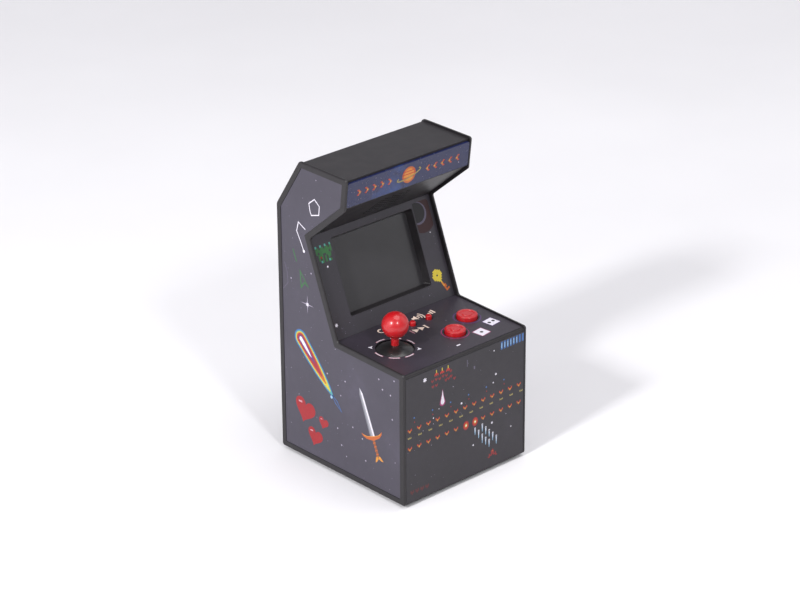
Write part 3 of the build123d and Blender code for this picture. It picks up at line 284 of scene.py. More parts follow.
LCD = glossy("lcd_glass", (46, 44, 50), 0.22, coat=0.5)
BOARD = circuit_board("circuit_board", (14, 84, 44))

NODE_MATERIALS = {
    "front_shell": BLACK, "rear_shell": BLACK, "left_side_panel": BLACK, "right_side_panel": BLACK,
    "base_plate": BLACK, "battery_door": BLACK, "battery_box": BLACK, "lcd_frame": BLACK,
    "speaker_ring": BLACK, "left_side_sticker": SIDE_PRINT, "right_side_sticker": SIDE_PRINT,
    "front_sticker": FRONT_PRINT_AS_PAINTED_SHADE, "deck_sticker": DARK_PRINT, "bezel_sticker": BEZEL_PRINT,
    "marquee_panel": MARQUEE_PRINT, "rubber_feet": RUBBER, "panel_screws": STEEL, "base_screws": STEEL,
    "inner_screws": STEEL, "battery_door_screw": STEEL, "battery_contacts": STEEL,
    "battery_springs": STEEL, "screen_window": WINDOW, "lcd_panel": LCD, "main_board": BOARD,
    "button_board": BOARD, "joystick_board": BOARD, "board_chips": CHIP, "screen_ribbon": RIBBON_FILM,
    "control_ribbon": RIBBON_FILM, "joystick_ribbon": RIBBON_FILM, "speaker": CONE,
    "speaker_leads": CABLE, "battery_leads": CABLE, "power_switch": STEEL,
    "power_switch_knob": GLOSS_BLACK, "button_domes": SILICONE, "small_button_domes": SILICONE,
    "joystick_domes": SILICONE, "button_a": RED, "button_b": RED, "reset_button": RED,
    "start_button": RED, "volume_button": RED, "joystick_ball": RED, "joystick_stick": RED,
    "joystick_dust_dome": GLOSS_BLACK, "joystick_gimbal": WHITE_PLASTIC,
    "joystick_housing": WHITE_PLASTIC, "joystick_rocker": WHITE_PLASTIC,
}
for node_name, material in NODE_MATERIALS.items():
    node_mesh = nodes[node_name].data
    node_mesh.materials.clear()
    node_mesh.materials.append(material)

INKS = {
    "white": ink("white", (214, 210, 220)),
    "faint": ink("faint", (88, 82, 100)),
    "cream": ink("cream", (228, 204, 190)),
    "pink": ink("pink", (186, 132, 142)),
    "red": ink("red", (128, 26, 30)),
    "bright_red": ink("bright_red", (172, 38, 24)),
    "dark_red": ink("dark_red", (46, 16, 20)),
    "heart_red": ink("heart_red", (148, 16, 26)),
    "orange": ink("orange", (176, 88, 34)),
    "gold": ink("gold", (200, 134, 50)),
    "yellow": ink("yellow", (196, 176, 52)),
    "pale_yellow": ink("pale_yellow", (142, 130, 76)),
    "green": ink("green", (46, 100, 54)),
    "teal": ink("teal", (74, 150, 138)),
    "blue": ink("blue", (54, 98, 158)),
    "pale_blue": ink("pale_blue", (140, 176, 204)),
    "violet": ink("violet", (84, 52, 112)),
    "magenta": ink("magenta", (146, 40, 98)),
    "crimson": ink("crimson", (148, 32, 50)),
    "steel": ink("steel", (148, 148, 155)),
    "dark_steel": ink("dark_steel", (118, 118, 126)),
    "brown": ink("brown", (128, 74, 44)),
    "night": ink("night", (22, 20, 24)),
    "dim_red": ink("dim_red", (84, 24, 28)),
    "pale": ink("pale", (160, 152, 170)),
}

# ---------------------------------------------------------------- turned pieces


def bend(radius_at, height_at, radius, start, end, steps=10):
    """Round part of a profile: points on an arc between two angles in degrees, 90 at the top."""
    turns = [math.radians(start + (end - start) * i / steps) for i in range(steps + 1)]
    return [(radius_at + radius * math.cos(t), height_at + radius * math.sin(t)) for t in turns]


def turned(name, profile, foot, out, material, body, hollow=False, count=72):
    """Piece turned from a profile of (radius, height) in millimetres, which stands for its CAD node."""
    side = out.orthogonal().normalized()
    other = out.cross(side)
    points, rings = [], []
    for radius, height in profile:
        if radius < 0.001:
            rings.append([len(points)] * count)
            points.append(foot + out * (height * MM))
            continue
        rings.append([len(points) + i for i in range(count)])
        for i in range(count):
            turn = 2 * math.pi * i / count
            spoke = side * math.cos(turn) + other * math.sin(turn)
            points.append(foot + (out * height + spoke * radius) * MM)
    faces = []
    pairs = list(zip(rings, rings[1:]))
    if hollow:
        pairs.append((rings[-1], rings[0]))
    for low, high in pairs:
        for i in range(count):
            j = (i + 1) % count
            corners = dict.fromkeys((low[i], low[j], high[j], high[i]))
            faces.append(tuple(corners))
    mesh = bpy.data.meshes.new(name)
    mesh.from_pydata(points, [], faces)
    mesh.polygons.foreach_set("use_smooth", [True] * len(faces))
    mesh.set_sharp_from_angle(angle=math.radians(35))
    mesh.materials.append(material)
    mesh.update()
    piece = bpy.data.objects.new(name, mesh)
    bpy.context.scene.collection.objects.link(piece)
    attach(piece, body)
    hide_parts(name.replace("_turned", ""))
    return piece


# ---------------------------------------------------------------- printed faces


class Face:
    """A flat printed face of the machine, with places on it in millimetres."""

    def __init__(self, origin, right, up, out):
        self.origin, self.right, self.up, self.out = origin, right, up, out
        self.mirrored = right.cross(up).dot(out) < 0

    def at(self, x, y, height=0.0):
        return self.origin + (self.right * x + self.up * y + self.out * height) * MM


def largest_face(node, towards):
    """Normal of the largest flat face of a node that looks roughly one way, and a point on it."""
    hint = Vector(towards).normalized()
    faces = [p for p in nodes[node].data.polygons if p.normal.dot(hint) > 0.9]
    best = max(faces, key=lambda p: p.area)
    out = best.normal.copy()
    height = max(p.center.dot(out) for p in faces if p.normal.dot(out) > 0.9999)
    return out, height


def sloped_face(node, towards, margin):
    """Face whose x runs to the player's right and whose y starts a margin before the node's lowest edge."""
    out, height = largest_face(node, towards)
    right = Vector((1, 0, 0))
    up = out.cross(right).normalized()
    start = min(v.co.dot(up) for v in nodes[node].data.vertices)
    return Face(out * height + up * (start - margin * MM), right, up, out)


deck = sloped_face("deck_sticker", (0, 0, 1), DECK_MARGIN)
bezel = sloped_face("bezel_sticker", (0, -1, 0.4), BEZEL_MARGIN)
marquee = sloped_face("marquee_panel", (0, -1, 0), 0.0)
front_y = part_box("front_sticker")[0].y
front = Face(Vector((0, front_y, 0)), Vector((1, 0, 0)), Vector((0, 0, 1)), Vector((0, -1, 0)))
left_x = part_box("left_side_sticker")[0].x
right_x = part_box("right_side_sticker")[1].x
left_side = Face(
    Vector((left_x, cad_low.y, 0)), Vector((0, 1, 0)), Vector((0, 0, 1)), Vector((-1, 0, 0))
)
right_side = Face(
    Vector((right_x, cad_low.y, 0)), Vector((0, 1, 0)), Vector((0, 0, 1)), Vector((1, 0, 0))
)


def spot(node, face):
    """Where the middle of a node's box falls on a face."""
    low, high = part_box(node)
    middle = (low + high) / 2 - face.origin
    return middle.dot(face.right) / MM, middle.dot(face.up) / MM


class Sheet:
    """The printed area of a sticker: whether a place is on it, clear of its edges and holes."""

    def __init__(self, node, face):
        mesh = nodes[node].data
        mesh.calc_loop_triangles()
        self.triangles = []
        for triangle in mesh.loop_triangles:
            if triangle.normal.dot(face.out) > 0.99:
                corners = [mesh.vertices[i].co - face.origin for i in triangle.vertices]
                self.triangles.append([(c.dot(face.right) / MM, c.dot(face.up) / MM) for c in corners])
        xs = [x for triangle in self.triangles for x, y in triangle]
        ys = [y for triangle in self.triangles for x, y in triangle]
        self.low, self.high = (min(xs), min(ys)), (max(xs), max(ys))

    def covers(self, x, y):
        for (ax, ay), (bx, by), (cx, cy) in self.triangles:
            turns = (
                (bx - ax) * (y - ay) - (by - ay) * (x - ax),
                (cx - bx) * (y - by) - (cy - by) * (x - bx),
                (ax - cx) * (y - cy) - (ay - cy) * (x - cx),
            )
            if min(turns) >= 0 or max(turns) <= 0:
                return True
        return False

    def clear(self, x, y, margin=0.9):
        around = ((0, 0), (margin, 0), (-margin, 0), (0, margin), (0, -margin))
        return all(self.covers(x + dx, y + dy) for dx, dy in around)


def spun(points, angle, x=0.0, y=0.0):
    """Points turned about the origin by an angle in degrees, then moved."""
    c, s = math.cos(math.radians(angle)), math.sin(math.radians(angle))
    return [(x + px * c - py * s, y + px * s + py * c) for px, py in points]


class Print:
    """Printed shapes on one face, gathered into one thin mesh with an ink for each shape."""

    def __init__(self, name, face):
        self.name, self.face = name, face
        self.points, self.faces, self.inks, self.used = [], [], [], []

    def shape(self, outline, colour, level=0):
        """Flat shape with a closed outline; a higher level prints over a lower one."""
        area = sum(
            x0 * y1 - x1 * y0 for (x0, y0), (x1, y1) in zip(outline, outline[1:] + outline[:1])
        )
        if (area < 0) != self.face.mirrored:
            outline = outline[::-1]
        if colour not in self.used:
            self.used.append(colour)
        first, count = len(self.points), len(outline)
        top = INK + level * INK_STEP
        self.points += [self.face.at(x, y) for x, y in outline]
        self.points += [self.face.at(x, y, top) for x, y in outline]
        sides = [
            (first + i, first + (i + 1) % count, first + count + (i + 1) % count, first + count + i)
            for i in range(count)
        ]
        self.faces.append(tuple(range(first + count, first + 2 * count)))
        self.faces.append(tuple(reversed(range(first, first + count))))
        self.faces += sides
        self.inks += [self.used.index(colour)] * (count + 2)

    def disc(self, x, y, radius, colour, level=0, squeeze=1.0, count=20):
        turns = [2 * math.pi * i / count for i in range(count)]
        ring = [(x + radius * squeeze * math.cos(t), y + radius * math.sin(t)) for t in turns]
        self.shape(ring, colour, level)

    def band(self, x, y, inner, outer, start, end, colour, level=0):
        """Part of a ring between two angles in degrees."""
        count = max(3, int(abs(end - start) / 5))
        turns = [math.radians(start + (end - start) * i / count) for i in range(count + 1)]
        for a, b in zip(turns, turns[1:]):
            quad = [(outer, a), (outer, b), (inner, b), (inner, a)]
            self.shape([(x + r * math.cos(t), y + r * math.sin(t)) for r, t in quad], colour, level)

    def stroke(self, points, width, colour, level=0, closed=False):
        """Line of even width with mitred corners."""
        run = [Vector(p) for p in points]
        count = len(run)
        offsets = []
        for i, p in enumerate(run):
            before = run[i - 1] if i or closed else None
            after = run[(i + 1) % count] if i < count - 1 or closed else None
            ways = [(b - a).normalized() for a, b in ((before, p), (p, after)) if a and b]
            sides = [Vector((-w.y, w.x)) for w in ways]
            normal = sum(sides, Vector((0, 0))).normalized()
            reach = width / 2 / max(0.35, normal.dot(sides[0]))
            offsets.append(normal * reach)
        last = count if closed else count - 1
        for i in range(last):
            j = (i + 1) % count
            corners = (run[i] + offsets[i], run[j] + offsets[j], run[j] - offsets[j], run[i] - offsets[i])
            self.shape([(c.x, c.y) for c in corners], colour, level)

    def spark(self, x, y, reach, waist, colour, level=0, points=4, turn=90.0):
        """Pointed star."""
        outline = []
        for i in range(2 * points):
            r = waist if i % 2 else reach
            outline += spun([(r, 0)], turn + 180.0 * i / points, x, y)
        self.shape(outline, colour, level)

    def pixels(self, rows, x, y, cell, colours, turn=0.0, tall=1.0):
        """Pixel picture centred on a place; each letter stands for an ink."""
        wide, high = max(map(len, rows)), len(rows)
        for row, line in enumerate(rows):
            low = (high / 2 - row - 1) * cell * tall
            column = 0
            while column < len(line):
                run = 1
                while column + run < len(line) and line[column + run] == line[column]:
                    run += 1
                if line[column] in colours:
                    left = (column - wide / 2) * cell
                    right = left + run * cell
                    box = [(left, low), (right, low), (right, low + cell * tall), (left, low + cell * tall)]
                    self.shape(spun(box, turn, x, y), colours[line[column]])
                column += run

    def stars(self, seed, count, sheet, avoid=(), small=0.12, large=0.32):
        """Scatter of round stars on a sheet, clear of the listed circles (x, y, radius)."""
        rng = random.Random(seed)
        made = 0
        while made < count:
            x = rng.uniform(sheet.low[0], sheet.high[0])
            y = rng.uniform(sheet.low[1], sheet.high[1])
            size = small + (large - small) * rng.random() ** 3
            colour = rng.choice(["pale", "faint", "faint", "faint"])
            if sheet.clear(x, y) and all(math.hypot(x - cx, y - cy) > gap for cx, cy, gap in avoid):
                self.disc(x, y, size, colour, count=10)
                made += 1

    def finish(self, body):
        """Turn the shapes into one object that rides on a body."""
        mesh = bpy.data.meshes.new(self.name)
        mesh.from_pydata(self.points, [], self.faces)
        for colour in self.used:
            mesh.materials.append(INKS[colour])
        mesh.polygons.foreach_set("material_index", self.inks)
        mesh.update()
        piece = bpy.data.objects.new(self.name, mesh)
        bpy.context.scene.collection.objects.link(piece)
        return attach(piece, body)


CABINET = "cabinet"

CROWN = [
    "g..g..g..g", "GG.GG.GG.G", "GGGGGGGGGG", "G.GGGGGG.G",
    ".GGG..GGG.", ".GrG.G.GG.", ".G.G.G.G..", "..gG.G.gG.",
]
KEY = [
    "..YYY..", ".YYYYY.", "YYYYYYY", "YYYkYYY", "YYYYYYY", ".YYYYY.", "..YYY..",
    "...Y...", "...y...", "...y...", "...yo..", "...oo..", "...o...", "...ooo.",
]
CHEVRON = ["R...R", "OR.RO", ".OYO.", "..O.."]
DASHES = ["y.y.y", "yyyyy"]
SHIP = ["..Y..", "..Y..", "..Y..", ".RRR.", "RRRRR", "R.R.R"]
SCOUT = ["R.R", "RRR", ".R."]
FIGHTER = ["....R....", "...RoR...", "...RRR...", ".R.RRR.R.", ".RRR.RRR.", "RR.....RR"]
FIERY = {"R": "bright_red", "O": "orange", "Y": "yellow", "y": "pale_yellow", "o": "orange", "r": "red"}


def flame(art, x, top, bottom):
    """Shot with a white round head that thins to a blue tail."""
    head, tail = top - 1.0, bottom + 1.6
    art.shape([(x - 0.5, head), (x + 0.5, head), (x + 0.12, bottom), (x - 0.12, bottom)], "pale_blue")
    art.shape([(x - 0.32, head), (x + 0.32, head), (x + 0.1, tail), (x - 0.1, tail)], "white", 1)
    art.disc(x, head, 0.5, "white", 1, squeeze=1.0, count=12)


def bar(x, half, low, high):
    """Outline of an upright bar."""
    return [(x - half, low), (x + half, low), (x + half, high), (x - half, high)]


def front_print():
    """Space battle on the front panel."""
    art = Print("front_print", front)
    sheet = Sheet("front_sticker", front)
    for x in (-19.0, -15.3, -11.5):
        art.pixels(SHIP, x, 64.6, 0.5, FIERY)
    scouts = [(-21.6, 61.0), (-19.2, 61.3), (-16.9, 61.0), (-14.8, 61.6), (-12.6, 61.2), (-9.8, 62.6)]
    scouts += [(-21.3, 58.2), (-19.0, 58.2), (-12.9, 58.9), (-11.2, 59.2), (-9.6, 59.8), (-7.4, 58.0)]
    for x, y in scouts:
        art.pixels(SCOUT, x, y, 0.5, {"R": "red"})
    flare = [(0, 4.5), (0.55, 1.2), (1.35, -1.6), (1.6, -2.9), (1.1, -3.9), (0, -4.4)]
    flare += [(-x, y) for x, y in flare[-2:0:-1]]
    art.shape(spun([(x * 1.15, y) for x, y in flare], 0, -15.1, 50.5), "magenta")
    art.shape(spun([(x * 0.75, y * 0.86) for x, y in flare], 0, -15.1, 50.6), "white", 1)
    for i in range(13):
        x = -36.1 + 5.95 * i
        art.pixels(CHEVRON, x, 40.1, 0.52, FIERY)
        if i not in (6, 7):
            art.pixels(CHEVRON, x, 30.6, 0.52, FIERY)
            continue
        glow = (("red", 2.4), ("bright_red", 1.9), ("orange", 1.2), ("yellow", 0.8), ("white", 0.45))
        for level, (colour, radius) in enumerate(glow):
            art.disc(x + 0.6, 30.4, radius, colour, level, squeeze=0.8)
    for i in range(12):
        art.pixels(DASHES, -36.3 + i * 6.65, 36.5, 0.44, {"y": "pale_yellow"})
    for i in range(6):
        art.disc(-33.1 + 11.7 * i, 43.9, 0.4, "red", count=8)
        art.disc(-33.3 + 11.7 * i, 46.2, 0.45, "blue", count=8)
    shots = [(6.2, 27.7, 23.3), (8.6, 25.7, 20.7), (11.0, 28.2, 23.3), (11.0, 22.8, 17.2)]
    shots += [(13.3, 25.9, 21.0), (13.3, 20.3, 15.5), (15.6, 23.6, 19.0), (15.6, 18.3, 13.5)]
    shots += [(18.0, 21.3, 16.2), (20.4, 18.9, 13.5)]
    for shot in shots:
        flame(art, *shot)
    art.pixels(FIGHTER, 17.9, 9.6, 0.68, {"R": "red", "o": "orange"})
    for i in range(4):
        art.pixels(SCOUT, -34.8 + 3.2 * i, 7.2, 0.72, {"R": "dim_red"})
    for i in range(8):
        x = 23.6 + 2.0 * i
        art.shape(bar(x, 0.6, 62.7, 66.7), "blue")
        if i < 6:
            art.shape(bar(x, 0.25, 63.4, 66.0), "pale_blue", 1)
    art.spark(-26.4, 63.4, 1.3, 0.75, "white", points=6)
    named = [(18.5, 63.7, 0.35), (19.8, 51.0, 0.55), (18.1, 47.0, 0.4), (-2.8, 43.2, 0.55), (17.4, 25.9, 0.6)]
    named += [(5.0, 18.2, 0.45), (30.2, 19.5, 0.35), (-21.0, 41.8, 0.35), (-17.4, 45.4, 0.25)]
    for x, y, size in named:
        art.disc(x, y, size, "white", 1, count=12)
    art.stroke([(0.9, 61.2), (0.9, 64.8)], 0.4, "faint")
    art.stroke([(5.6, 58.4), (5.6, 60.0)], 0.9, "faint")
    avoid = [(-15.5, 60.0, 8.0), (-15.1, 50.5, 5.0), (13.3, 20.0, 9.0), (3.4, 30.5, 6.0)]
    art.stars(11, 60, sheet, avoid, small=0.1, large=0.26)
    return art.finish(CABINET)


def pip_tile(art, place, pips, edge):
    """White label tile with pips that match its button, in place of a letter."""
    tile = [(-3.0, -3.0), (3.0, -3.0), (3.0, 3.0), (-3.0, 3.0)]
    grow = [(px * 1.1, py * 1.1) for px, py in tile]
    art.shape(spun(grow, 8, *place), edge)
    art.shape(spun(tile, 8, *place), "white", 1)
    for offset in pips:
        (x, y), = spun([(offset, 0)], 8, *place)
        art.disc(x, y, 0.85, "night", 2)


def deck_print():
    """Control panel marks: stick ring, button rings, tiles and function signs."""
    art = Print("deck_print", deck)
    sheet = Sheet("deck_sticker", deck)
    x, y = STICK_AT
    for angle in (0, 45, 90, 180, 226, 270):
        art.band(x, y, 10.0, 10.8, angle - 15, angle + 15, "pink")
        art.band(x, y, 10.2, 10.6, angle - 13, angle + 13, "white", 1)
    for angle in (135, 315):
        art.shape(spun([(12.7, 0), (10.5, 1.4), (11.0, 0), (10.5, -1.4)], angle, x, y), "white")
    for (bx, by), colour in ((BUTTON_A, "magenta"), (BUTTON_B, "violet")):
        art.band(bx, by, 6.45, 6.85, 0, 360, colour)
    pip_tile(art, TILE_A, (0.0,), "magenta")
    pip_tile(art, TILE_B, (-1.45, 1.45), "violet")
    rx, ry = RESET_SIGN
    art.band(rx, ry, 1.4, 2.1, 60, 350, "cream")
    art.shape(spun([(1.8, 1.4), (0.9, -0.2), (2.8, -0.2)], 0, rx, ry + 0.1), "cream")
    vx, vy = VOLUME_SIGN
    speaker = [(-7.2, -0.8), (-5.9, -0.8), (-4.3, -2.1), (-4.3, 2.1), (-5.9, 0.8), (-7.2, 0.8)]
    art.shape(spun(speaker, 0, vx, vy), "cream")
    for radius in (1.2, 2.6, 4.0):
        art.band(vx - 4.6, vy, radius, radius + 0.6, -40, 40, "cream")
    for i in range(4):
        left, top = vx + 1.0 + 1.6 * i, vy - 1.0 + 0.95 * i
        art.shape([(left, vy - 1.9), (left + 0.9, vy - 1.9), (left + 0.9, top), (left, top)], "cream")
    px, py = START_SIGN
    for shift in (-1.9, 1.7):
        art.shape(spun([(-1.5, -1.9), (1.7, 0), (-1.5, 1.9)], 0, px + shift, py), "cream")
    art.stroke([(px + 4.4, py - 1.9), (px + 4.4, py + 1.9)], 0.9, "cream")
    art.stroke([(px - 4.6, py - 1.9), (px - 4.6, py + 1.9)], 0.6, "pink")
    art.shape([(1.2, 7.2), (3.5, 7.2), (3.5, 8.1), (1.2, 8.1)], "white")
    avoid = [(*STICK_AT, 13.0), (*BUTTON_A, 7.4), (*BUTTON_B, 7.4), (*TILE_A, 5.4), (*TILE_B, 5.4)]
    avoid += [(rx, ry, 3.5), (px, py, 6.0), (vx - 4.0, vy, 4.5), (vx + 4.0, vy, 4.5)]
    art.stars(5, 40, sheet, avoid, small=0.1, large=0.22)
    return art.finish(CABINET)


def bezel_print():
    """Crown, key, dark red planet and stars round the screen."""
    art = Print("bezel_print", bezel)
    sheet = Sheet("bezel_sticker", bezel)
    art.pixels(CROWN, -31.9, 41.8, 0.96, {"G": "green", "g": "teal", "r": "red"}, tall=1.1)
    art.pixels(KEY, 32.3, 9.4, 0.86, {"Y": "yellow", "y": "gold", "o": "orange"}, turn=25.0, tall=1.05)
    middle = Vector((30.8, 42.6))
    planet = ((8.6, (0, 0), "dark_red"), (5.6, (-2.0, 1.6), "faint"), (5.0, (-2.4, 2.0), "night"))
    for level, (radius, shift, colour) in enumerate(planet):
        outline = []
        for i in range(48):
            turn = 2 * math.pi * i / 48
            x = middle.x + shift[0] + radius * math.cos(turn)
            y = middle.y + shift[1] + radius * math.sin(turn)
            outline.append((min(max(x, 26.9), 36.9), min(y, 49.6)))
        art.shape(outline, colour, level)
    art.disc(-32.0, 35.2, 0.45, "white", 1)
    art.spark(-36.0, 7.4, 1.1, 0.6, "white", points=6)
    art.disc(33.6, 33.4, 0.3, "white", 1)
    avoid = [(-31.9, 41.8, 7.5), (32.3, 9.4, 8.0), (30.8, 42.6, 9.4), (-36.0, 7.4, 2.0)]
    art.stars(7, 46, sheet, avoid, small=0.1, large=0.26)
    return art.finish(CABINET)


def comet(art):
    """Rainbow comet: nested drops from a broad blue one to a short white core, and an open tail."""
    head, tip = Vector((72.3, 64.4)), Vector((43.8, 35.4))
    run = tip - head
    way = run.normalized()
    side = Vector((-way.y, way.x))
    layers = (
        ("blue", 4.7, 0.80), ("teal", 4.1, 0.77), ("yellow", 3.6, 0.72), ("orange", 3.1, 0.62),
        ("crimson", 2.65, 0.52), ("violet", 1.7, 0.34), ("white", 1.05, 0.26),
    )
    for level, (colour, radius, share) in enumerate(layers):
        length = run.length * share
        outline = []
        for i in range(17):
            turn = math.pi * (0.5 + i / 16)
            outline.append(head + way * (radius * math.cos(turn)) + side * (radius * math.sin(turn)))
        taper = ((0.3, 0.92), (0.6, 0.7), (0.85, 0.4), (1.0, 0.08))
        outline += [head + way * length * along - side * radius * wide for along, wide in taper]
        outline += [head + way * length * along + side * radius * wide for along, wide in reversed(taper)]
        art.shape([(p.x, p.y) for p in outline], colour, level)
    ends = [head + run * share for share in (0.76, 0.87, 1.0)]
    kite = [ends[0], ends[1] + side * 0.9, ends[2], ends[1] - side * 0.9]
    art.stroke([(p.x, p.y) for p in kite], 0.4, "blue", closed=True)
    art.disc(50.9, 40.9, 0.8, "pale_blue", 8)


def sword(art):
    """Steel sword with a curved gold guard and a forked pommel."""
    base, tip = Vector((22.2, 31.0)), Vector((31.0, 53.1))
    way = (tip - base).normalized()
    angle = math.degrees(math.atan2(way.y, way.x))
    length = (tip - base).length

    def part(points, colour, level=0):
        art.shape(spun(points, angle, *base), colour, level)

    part([(-0.6, 1.75), (length - 3.2, 1.3), (length, 0), (length - 3.2, -1.3), (-0.6, -1.75)], "steel")
    part([(-0.6, 1.5), (length - 3.2, 1.05), (length - 0.6, 0.1), (-0.6, 0.5)], "white", 1)
    part([(-0.6, -0.9), (length - 3.2, -0.6), (length, 0), (length - 3.2, -1.3), (-0.6, -1.75)],
         "dark_steel", 1)
    for turn in (1, -1):
        part([(1.5, 7.6 * turn), (0.0, 6.9 * turn), (-1.6, 4.6 * turn), (-2.6, 0), (-0.7, 0),
              (-0.3, 2.0 * turn), (-0.1, 4.4 * turn), (0.6, 6.0 * turn)], "orange", 2)
        part([(1.1, 7.2 * turn), (-0.3, 5.2 * turn), (-0.7, 0), (-0.3, 0), (-0.3, 2.0 * turn),
              (-0.1, 4.4 * turn), (0.6, 6.0 * turn)], "gold", 3)
        part([(-10.3, 0.5 * turn), (-11.6, 0), (-13.0, 1.7 * turn), (-13.3, 2.9 * turn), (-12.2, 2.4 * turn),
              (-10.8, 1.6 * turn)], "gold", 3)
    part([(-2.4, 0.9), (-10.6, 0.75), (-10.6, -0.75), (-2.4, -0.9)], "brown", 1)
    for step in range(4):
        start = -3.2 - step * 1.9
        part([(start, 0.9), (start - 0.6, 0.9), (start - 1.0, -0.9), (start - 0.4, -0.9)], "orange", 2)


def heart(art, x, y, width, turn):
    """Red heart with a light bar on one lobe."""
    outline = []
    for i in range(36):
        t = 2 * math.pi * i / 36
        across = 16 * math.sin(t) ** 3
        height = 13 * math.cos(t) - 5 * math.cos(2 * t) - 2 * math.cos(3 * t) - math.cos(4 * t)
        outline.append((across / 32 * width, (height + 2.5) / 32 * width))
    art.shape(spun(outline, turn, x, y), "heart_red")
    bar = [(0.18, 0.24), (0.36, 0.2), (0.37, 0.26), (0.2, 0.31)]
    art.shape(spun([(px * width, py * width) for px, py in bar], turn, x, y), "pink", 1)


def side_print(name, face, node):
    """Comet, sword, hearts, sparkle and vector outlines on a side panel."""
    art = Print(name, face)
    sheet = Sheet(node, face)
    comet(art)
    sword(art)
    hearts = ((70.7, 26.0, 14.4), (63.6, 14.3, 10.6), (57.2, 24.2, 6.9))
    for x, y, width in hearts:
        heart(art, x, y, width, 13.0)
    art.spark(67.1, 83.9, 4.7, 0.42, "pale")
    art.spark(67.1, 83.9, 1.8, 0.4, "pale", 1, turn=45.0)
    art.disc(67.1, 83.9, 0.8, "white", 2)
    art.stroke([(71.9, 99.7), (71.3, 91.6), (69.0, 94.7), (66.5, 93.4)], 0.7, "green", closed=True)
    art.stroke([(76.8, 109.7), (74.3, 103.9)], 0.6, "green")
    art.stroke([(67.5, 122.4), (72.4, 124.8), (73.8, 120.0), (70.8, 114.7), (68.9, 110.9)], 0.5, "white")
    art.disc(68.9, 110.9, 0.75, "white", 1)
    rock = [(63.9, 132.9), (63.0, 131.0), (57.7, 132.7), (57.2, 137.2), (60.6, 139.8), (64.6, 136.6)]
    art.stroke(rock, 0.5, "white", closed=True)
    art.stroke([(83.1, 101.0), (81.4, 96.2), (80.9, 90.9), (84.6, 86.6)], 0.35, "faint")
    stars = [(78.6, 94.0), (41.0, 52.6), (6.8, 65.0), (14.8, 57.8), (9.3, 56.7), (8.2, 44.5), (44.2, 17.6)]
    stars += [(27.1, 15.7), (29.3, 26.6), (53.7, 52.3), (17.3, 62.3), (46.9, 25.7)]
    stars += [(64.0, 101.0), (36.0, 30.2)]
    for x, y in stars:
        art.disc(x, y, 0.42, "pale", count=12)
    avoid = [(x, y, width * 0.6) for x, y, width in hearts] + [(67.1, 83.9, 5.0)]
    avoid += [(72.3 - 5.7 * i, 64.4 - 5.8 * i, 6.4 - 0.9 * i) for i in range(6)]
    avoid += [(17.0 + 2.3 * i, 20.0 + 5.5 * i, 4.5) for i in range(7)]
    avoid += [(28.0, 30.0, 4.0), (15.5, 34.0, 4.0)]
    art.stars(23, 120, sheet, avoid, small=0.14, large=0.36)
    return art.finish(CABINET)


def marquee_print():
    """Ringed planet, chevrons and stars on the marquee; no words."""
    art = Print("marquee_print", marquee)
    sheet = Sheet("marquee_panel", marquee)
    middle = (sheet.low[1] + sheet.high[1]) / 2
    for radius, colour, level in ((4.2, "orange", 1), (3.2, "gold", 2)):
        art.disc(0.0, middle, radius, colour, level, count=40)
    for y in (-1.6, 0.2, 1.7):
        wide = math.sqrt(4.1**2 - y * y)
        low, high = middle + y, middle + y + 0.5
        art.shape([(-wide, low), (wide, low), (wide, high), (-wide, high)], "bright_red", 3)
    ring = [(7.4 * math.cos(math.radians(a)), 1.5 * math.sin(math.radians(a))) for a in range(150, 391, 8)]
    art.stroke(spun(ring, 12, 0, middle), 0.6, "pale_yellow", 5)
    for side in (-1, 1):
        for i in range(5):
            art.pixels(CHEVRON, side * (12.0 + 4.8 * i), middle, 0.62, FIERY, turn=side * -90.0)
    art.stars(31, 60, sheet, [(0.0, middle, 7.5)], small=0.12, large=0.34)
    return art.finish(CABINET)


def play_button(node, radius, flange, height, stem, ringed):
    """Push button with a crowned edge, and on the large ones a moulded ring."""
    foot = deck.at(*spot(node, deck), -STICKER)
    profile = [(0, -STEM_END), (stem, -STEM_END), (stem, -FLANGE_BOTTOM)]
    profile += [(flange, -FLANGE_BOTTOM), (flange, -FLANGE_TOP), (radius, -FLANGE_TOP)]
    profile += bend(radius - BUTTON_ROUND, height - BUTTON_ROUND, BUTTON_ROUND, 0, 90, 6)
    if ringed:
        low = height - RING_DEPTH
        profile += [(RING_OUTER, height), (RING_OUTER - RING_SLOPE, low)]
        profile += [(RING_INNER + RING_SLOPE, low), (RING_INNER, height)]
    profile.append((0, height))
    return turned(f"{node}_turned", profile, foot, deck.out, RED, node)


def make_turned_pieces():
    """Ball, dust dome and buttons, turned finely enough for close views."""
    low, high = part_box("joystick_ball")
    radius = (high.x - low.x) / 2
    centre = Vector(((low.x + high.x) / 2, (low.y + high.y) / 2, high.z - radius))
    radius /= MM
    foot_angle = math.degrees(math.acos(STICK_R / radius))
    ball = [(0, -radius * math.sin(math.radians(foot_angle)))]
    ball += bend(0, 0, radius, -foot_angle, 90, 40)[:-1] + [(0, radius)]
    turned("joystick_ball_turned", ball, centre, deck.out, RED, "joystick", count=96)
    pivot = deck.at(*STICK_AT, DOME_HEIGHT - DOME_R - STICKER)
    lip = 90 - DOME_ANGLE
    hole = math.degrees(math.acos(STICK_R * STICK_FIT / DOME_R))
    dome = bend(0, 0, DOME_R, lip, hole, 24)
    dome += bend(0, 0, DOME_R - DOME_WALL, hole - DOME_HOLE_TAPER, lip, 24)
    name = "joystick_dust_dome_turned"
    turned(name, dome, pivot, deck.out, GLOSS_BLACK, "joystick", hollow=True)
    for node in ("button_a", "button_b"):
        play_button(node, **LARGE_BUTTON)
    for node in ("reset_button", "start_button", "volume_button"):
        play_button(node, **SMALL_BUTTON)


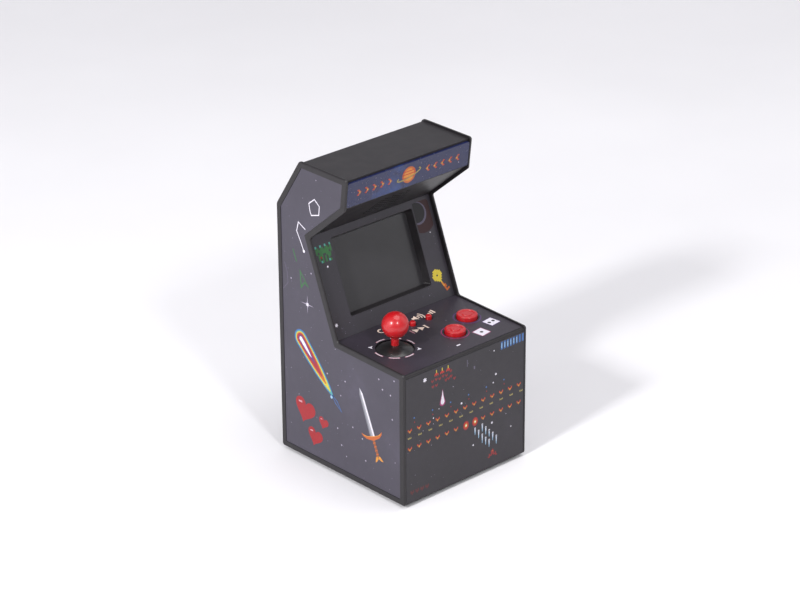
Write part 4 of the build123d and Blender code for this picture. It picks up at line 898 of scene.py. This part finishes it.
make_turned_pieces()
front_print()
deck_print()
bezel_print()
side_print("left_side_print", left_side, "left_side_sticker")
side_print("right_side_print", right_side, "right_side_sticker")
marquee_print()

# ---------------------------------------------------------------- stage, light and camera


def stage_material():
    """Pale matt table."""
    s = Shader("pale_floor")
    s.colour(s.ramp(s.noise(3.0, 4.0), [(0.3, (0.76, 0.75, 0.77)), (0.7, (0.82, 0.81, 0.83))]))
    s.roughness(s.spread(s.noise(30.0), 0.6, 0.75))
    return s.material


def make_floor():
    """Floor that sweeps up behind into a backdrop."""
    span, back, rise, bend = 4.0, 2.4, 3.0, 0.8
    profile = [(-span, 0.0), (back - bend, 0.0)]
    profile += [
        (back - bend + bend * math.sin(t), bend - bend * math.cos(t))
        for t in [math.pi / 2 * i / 12 for i in range(1, 13)]
    ]
    profile.append((back, rise))
    turn = Matrix.Rotation(math.atan2(-LOOK[0], LOOK[1]), 4, "Z")
    points = [turn @ Vector((side * span, y, z)) for side in (-1, 1) for y, z in profile]
    count = len(profile)
    faces = [(i, i + 1, count + i + 1, count + i) for i in range(count - 1)]
    mesh = bpy.data.meshes.new("floor")
    mesh.from_pydata(points, [], faces)
    mesh.polygons.foreach_set("use_smooth", [True] * len(faces))
    mesh.materials.append(stage_material())
    floor = bpy.data.objects.new("floor", mesh)
    bpy.context.scene.collection.objects.link(floor)


def area_light(name, place, target, size, power, tint=(1.0, 1.0, 1.0)):
    """Soft box aimed at a point."""
    light = bpy.data.lights.new(name, "AREA")
    light.size, light.energy, light.color = size, power, tint
    lamp = bpy.data.objects.new(name, light)
    lamp.location = place
    lamp.rotation_mode = "QUATERNION"
    lamp.rotation_quaternion = (Vector(target) - Vector(place)).to_track_quat("-Z", "Y")
    bpy.context.scene.collection.objects.link(lamp)


def make_lights():
    aim = (0.0, 0.0, 0.07)
    area_light("key", (-1.32, -0.20, 0.98), aim, 0.17, 17.0)
    area_light("second_key", (-0.40, -1.15, 1.02), aim, 0.17, 7.0)
    area_light("left_fill", (-1.6, 0.3, 0.5), aim, 1.4, 8.0, (0.96, 0.96, 1.0))
    area_light("right_fill", (1.4, -0.8, 0.9), aim, 1.4, 4.0)
    area_light("top", (0.2, -0.2, 1.7), aim, 1.2, 12.0)
    world = bpy.data.worlds.new("studio")
    world.use_nodes = True
    world.node_tree.nodes["Background"].inputs["Color"].default_value = (0.86, 0.86, 0.9, 1.0)
    world.node_tree.nodes["Background"].inputs["Strength"].default_value = 0.5
    bpy.context.scene.world = world


def make_camera():
    data = bpy.data.cameras.new("camera")
    data.lens, data.sensor_width, data.sensor_fit = LENS, 36.0, "HORIZONTAL"
    data.clip_start, data.clip_end = 0.01, 20.0
    camera = bpy.data.objects.new("camera", data)
    camera.location = CAMERA_AT
    camera.rotation_mode = "QUATERNION"
    aim = Vector(LOOK).to_track_quat("-Z", "Y")
    camera.rotation_quaternion = aim @ Matrix.Rotation(math.radians(ROLL), 3, "Z").to_quaternion()
    bpy.context.scene.collection.objects.link(camera)
    bpy.context.scene.camera = camera


make_floor()
make_lights()
make_camera()
bpy.context.scene.view_settings.view_transform = "Standard"
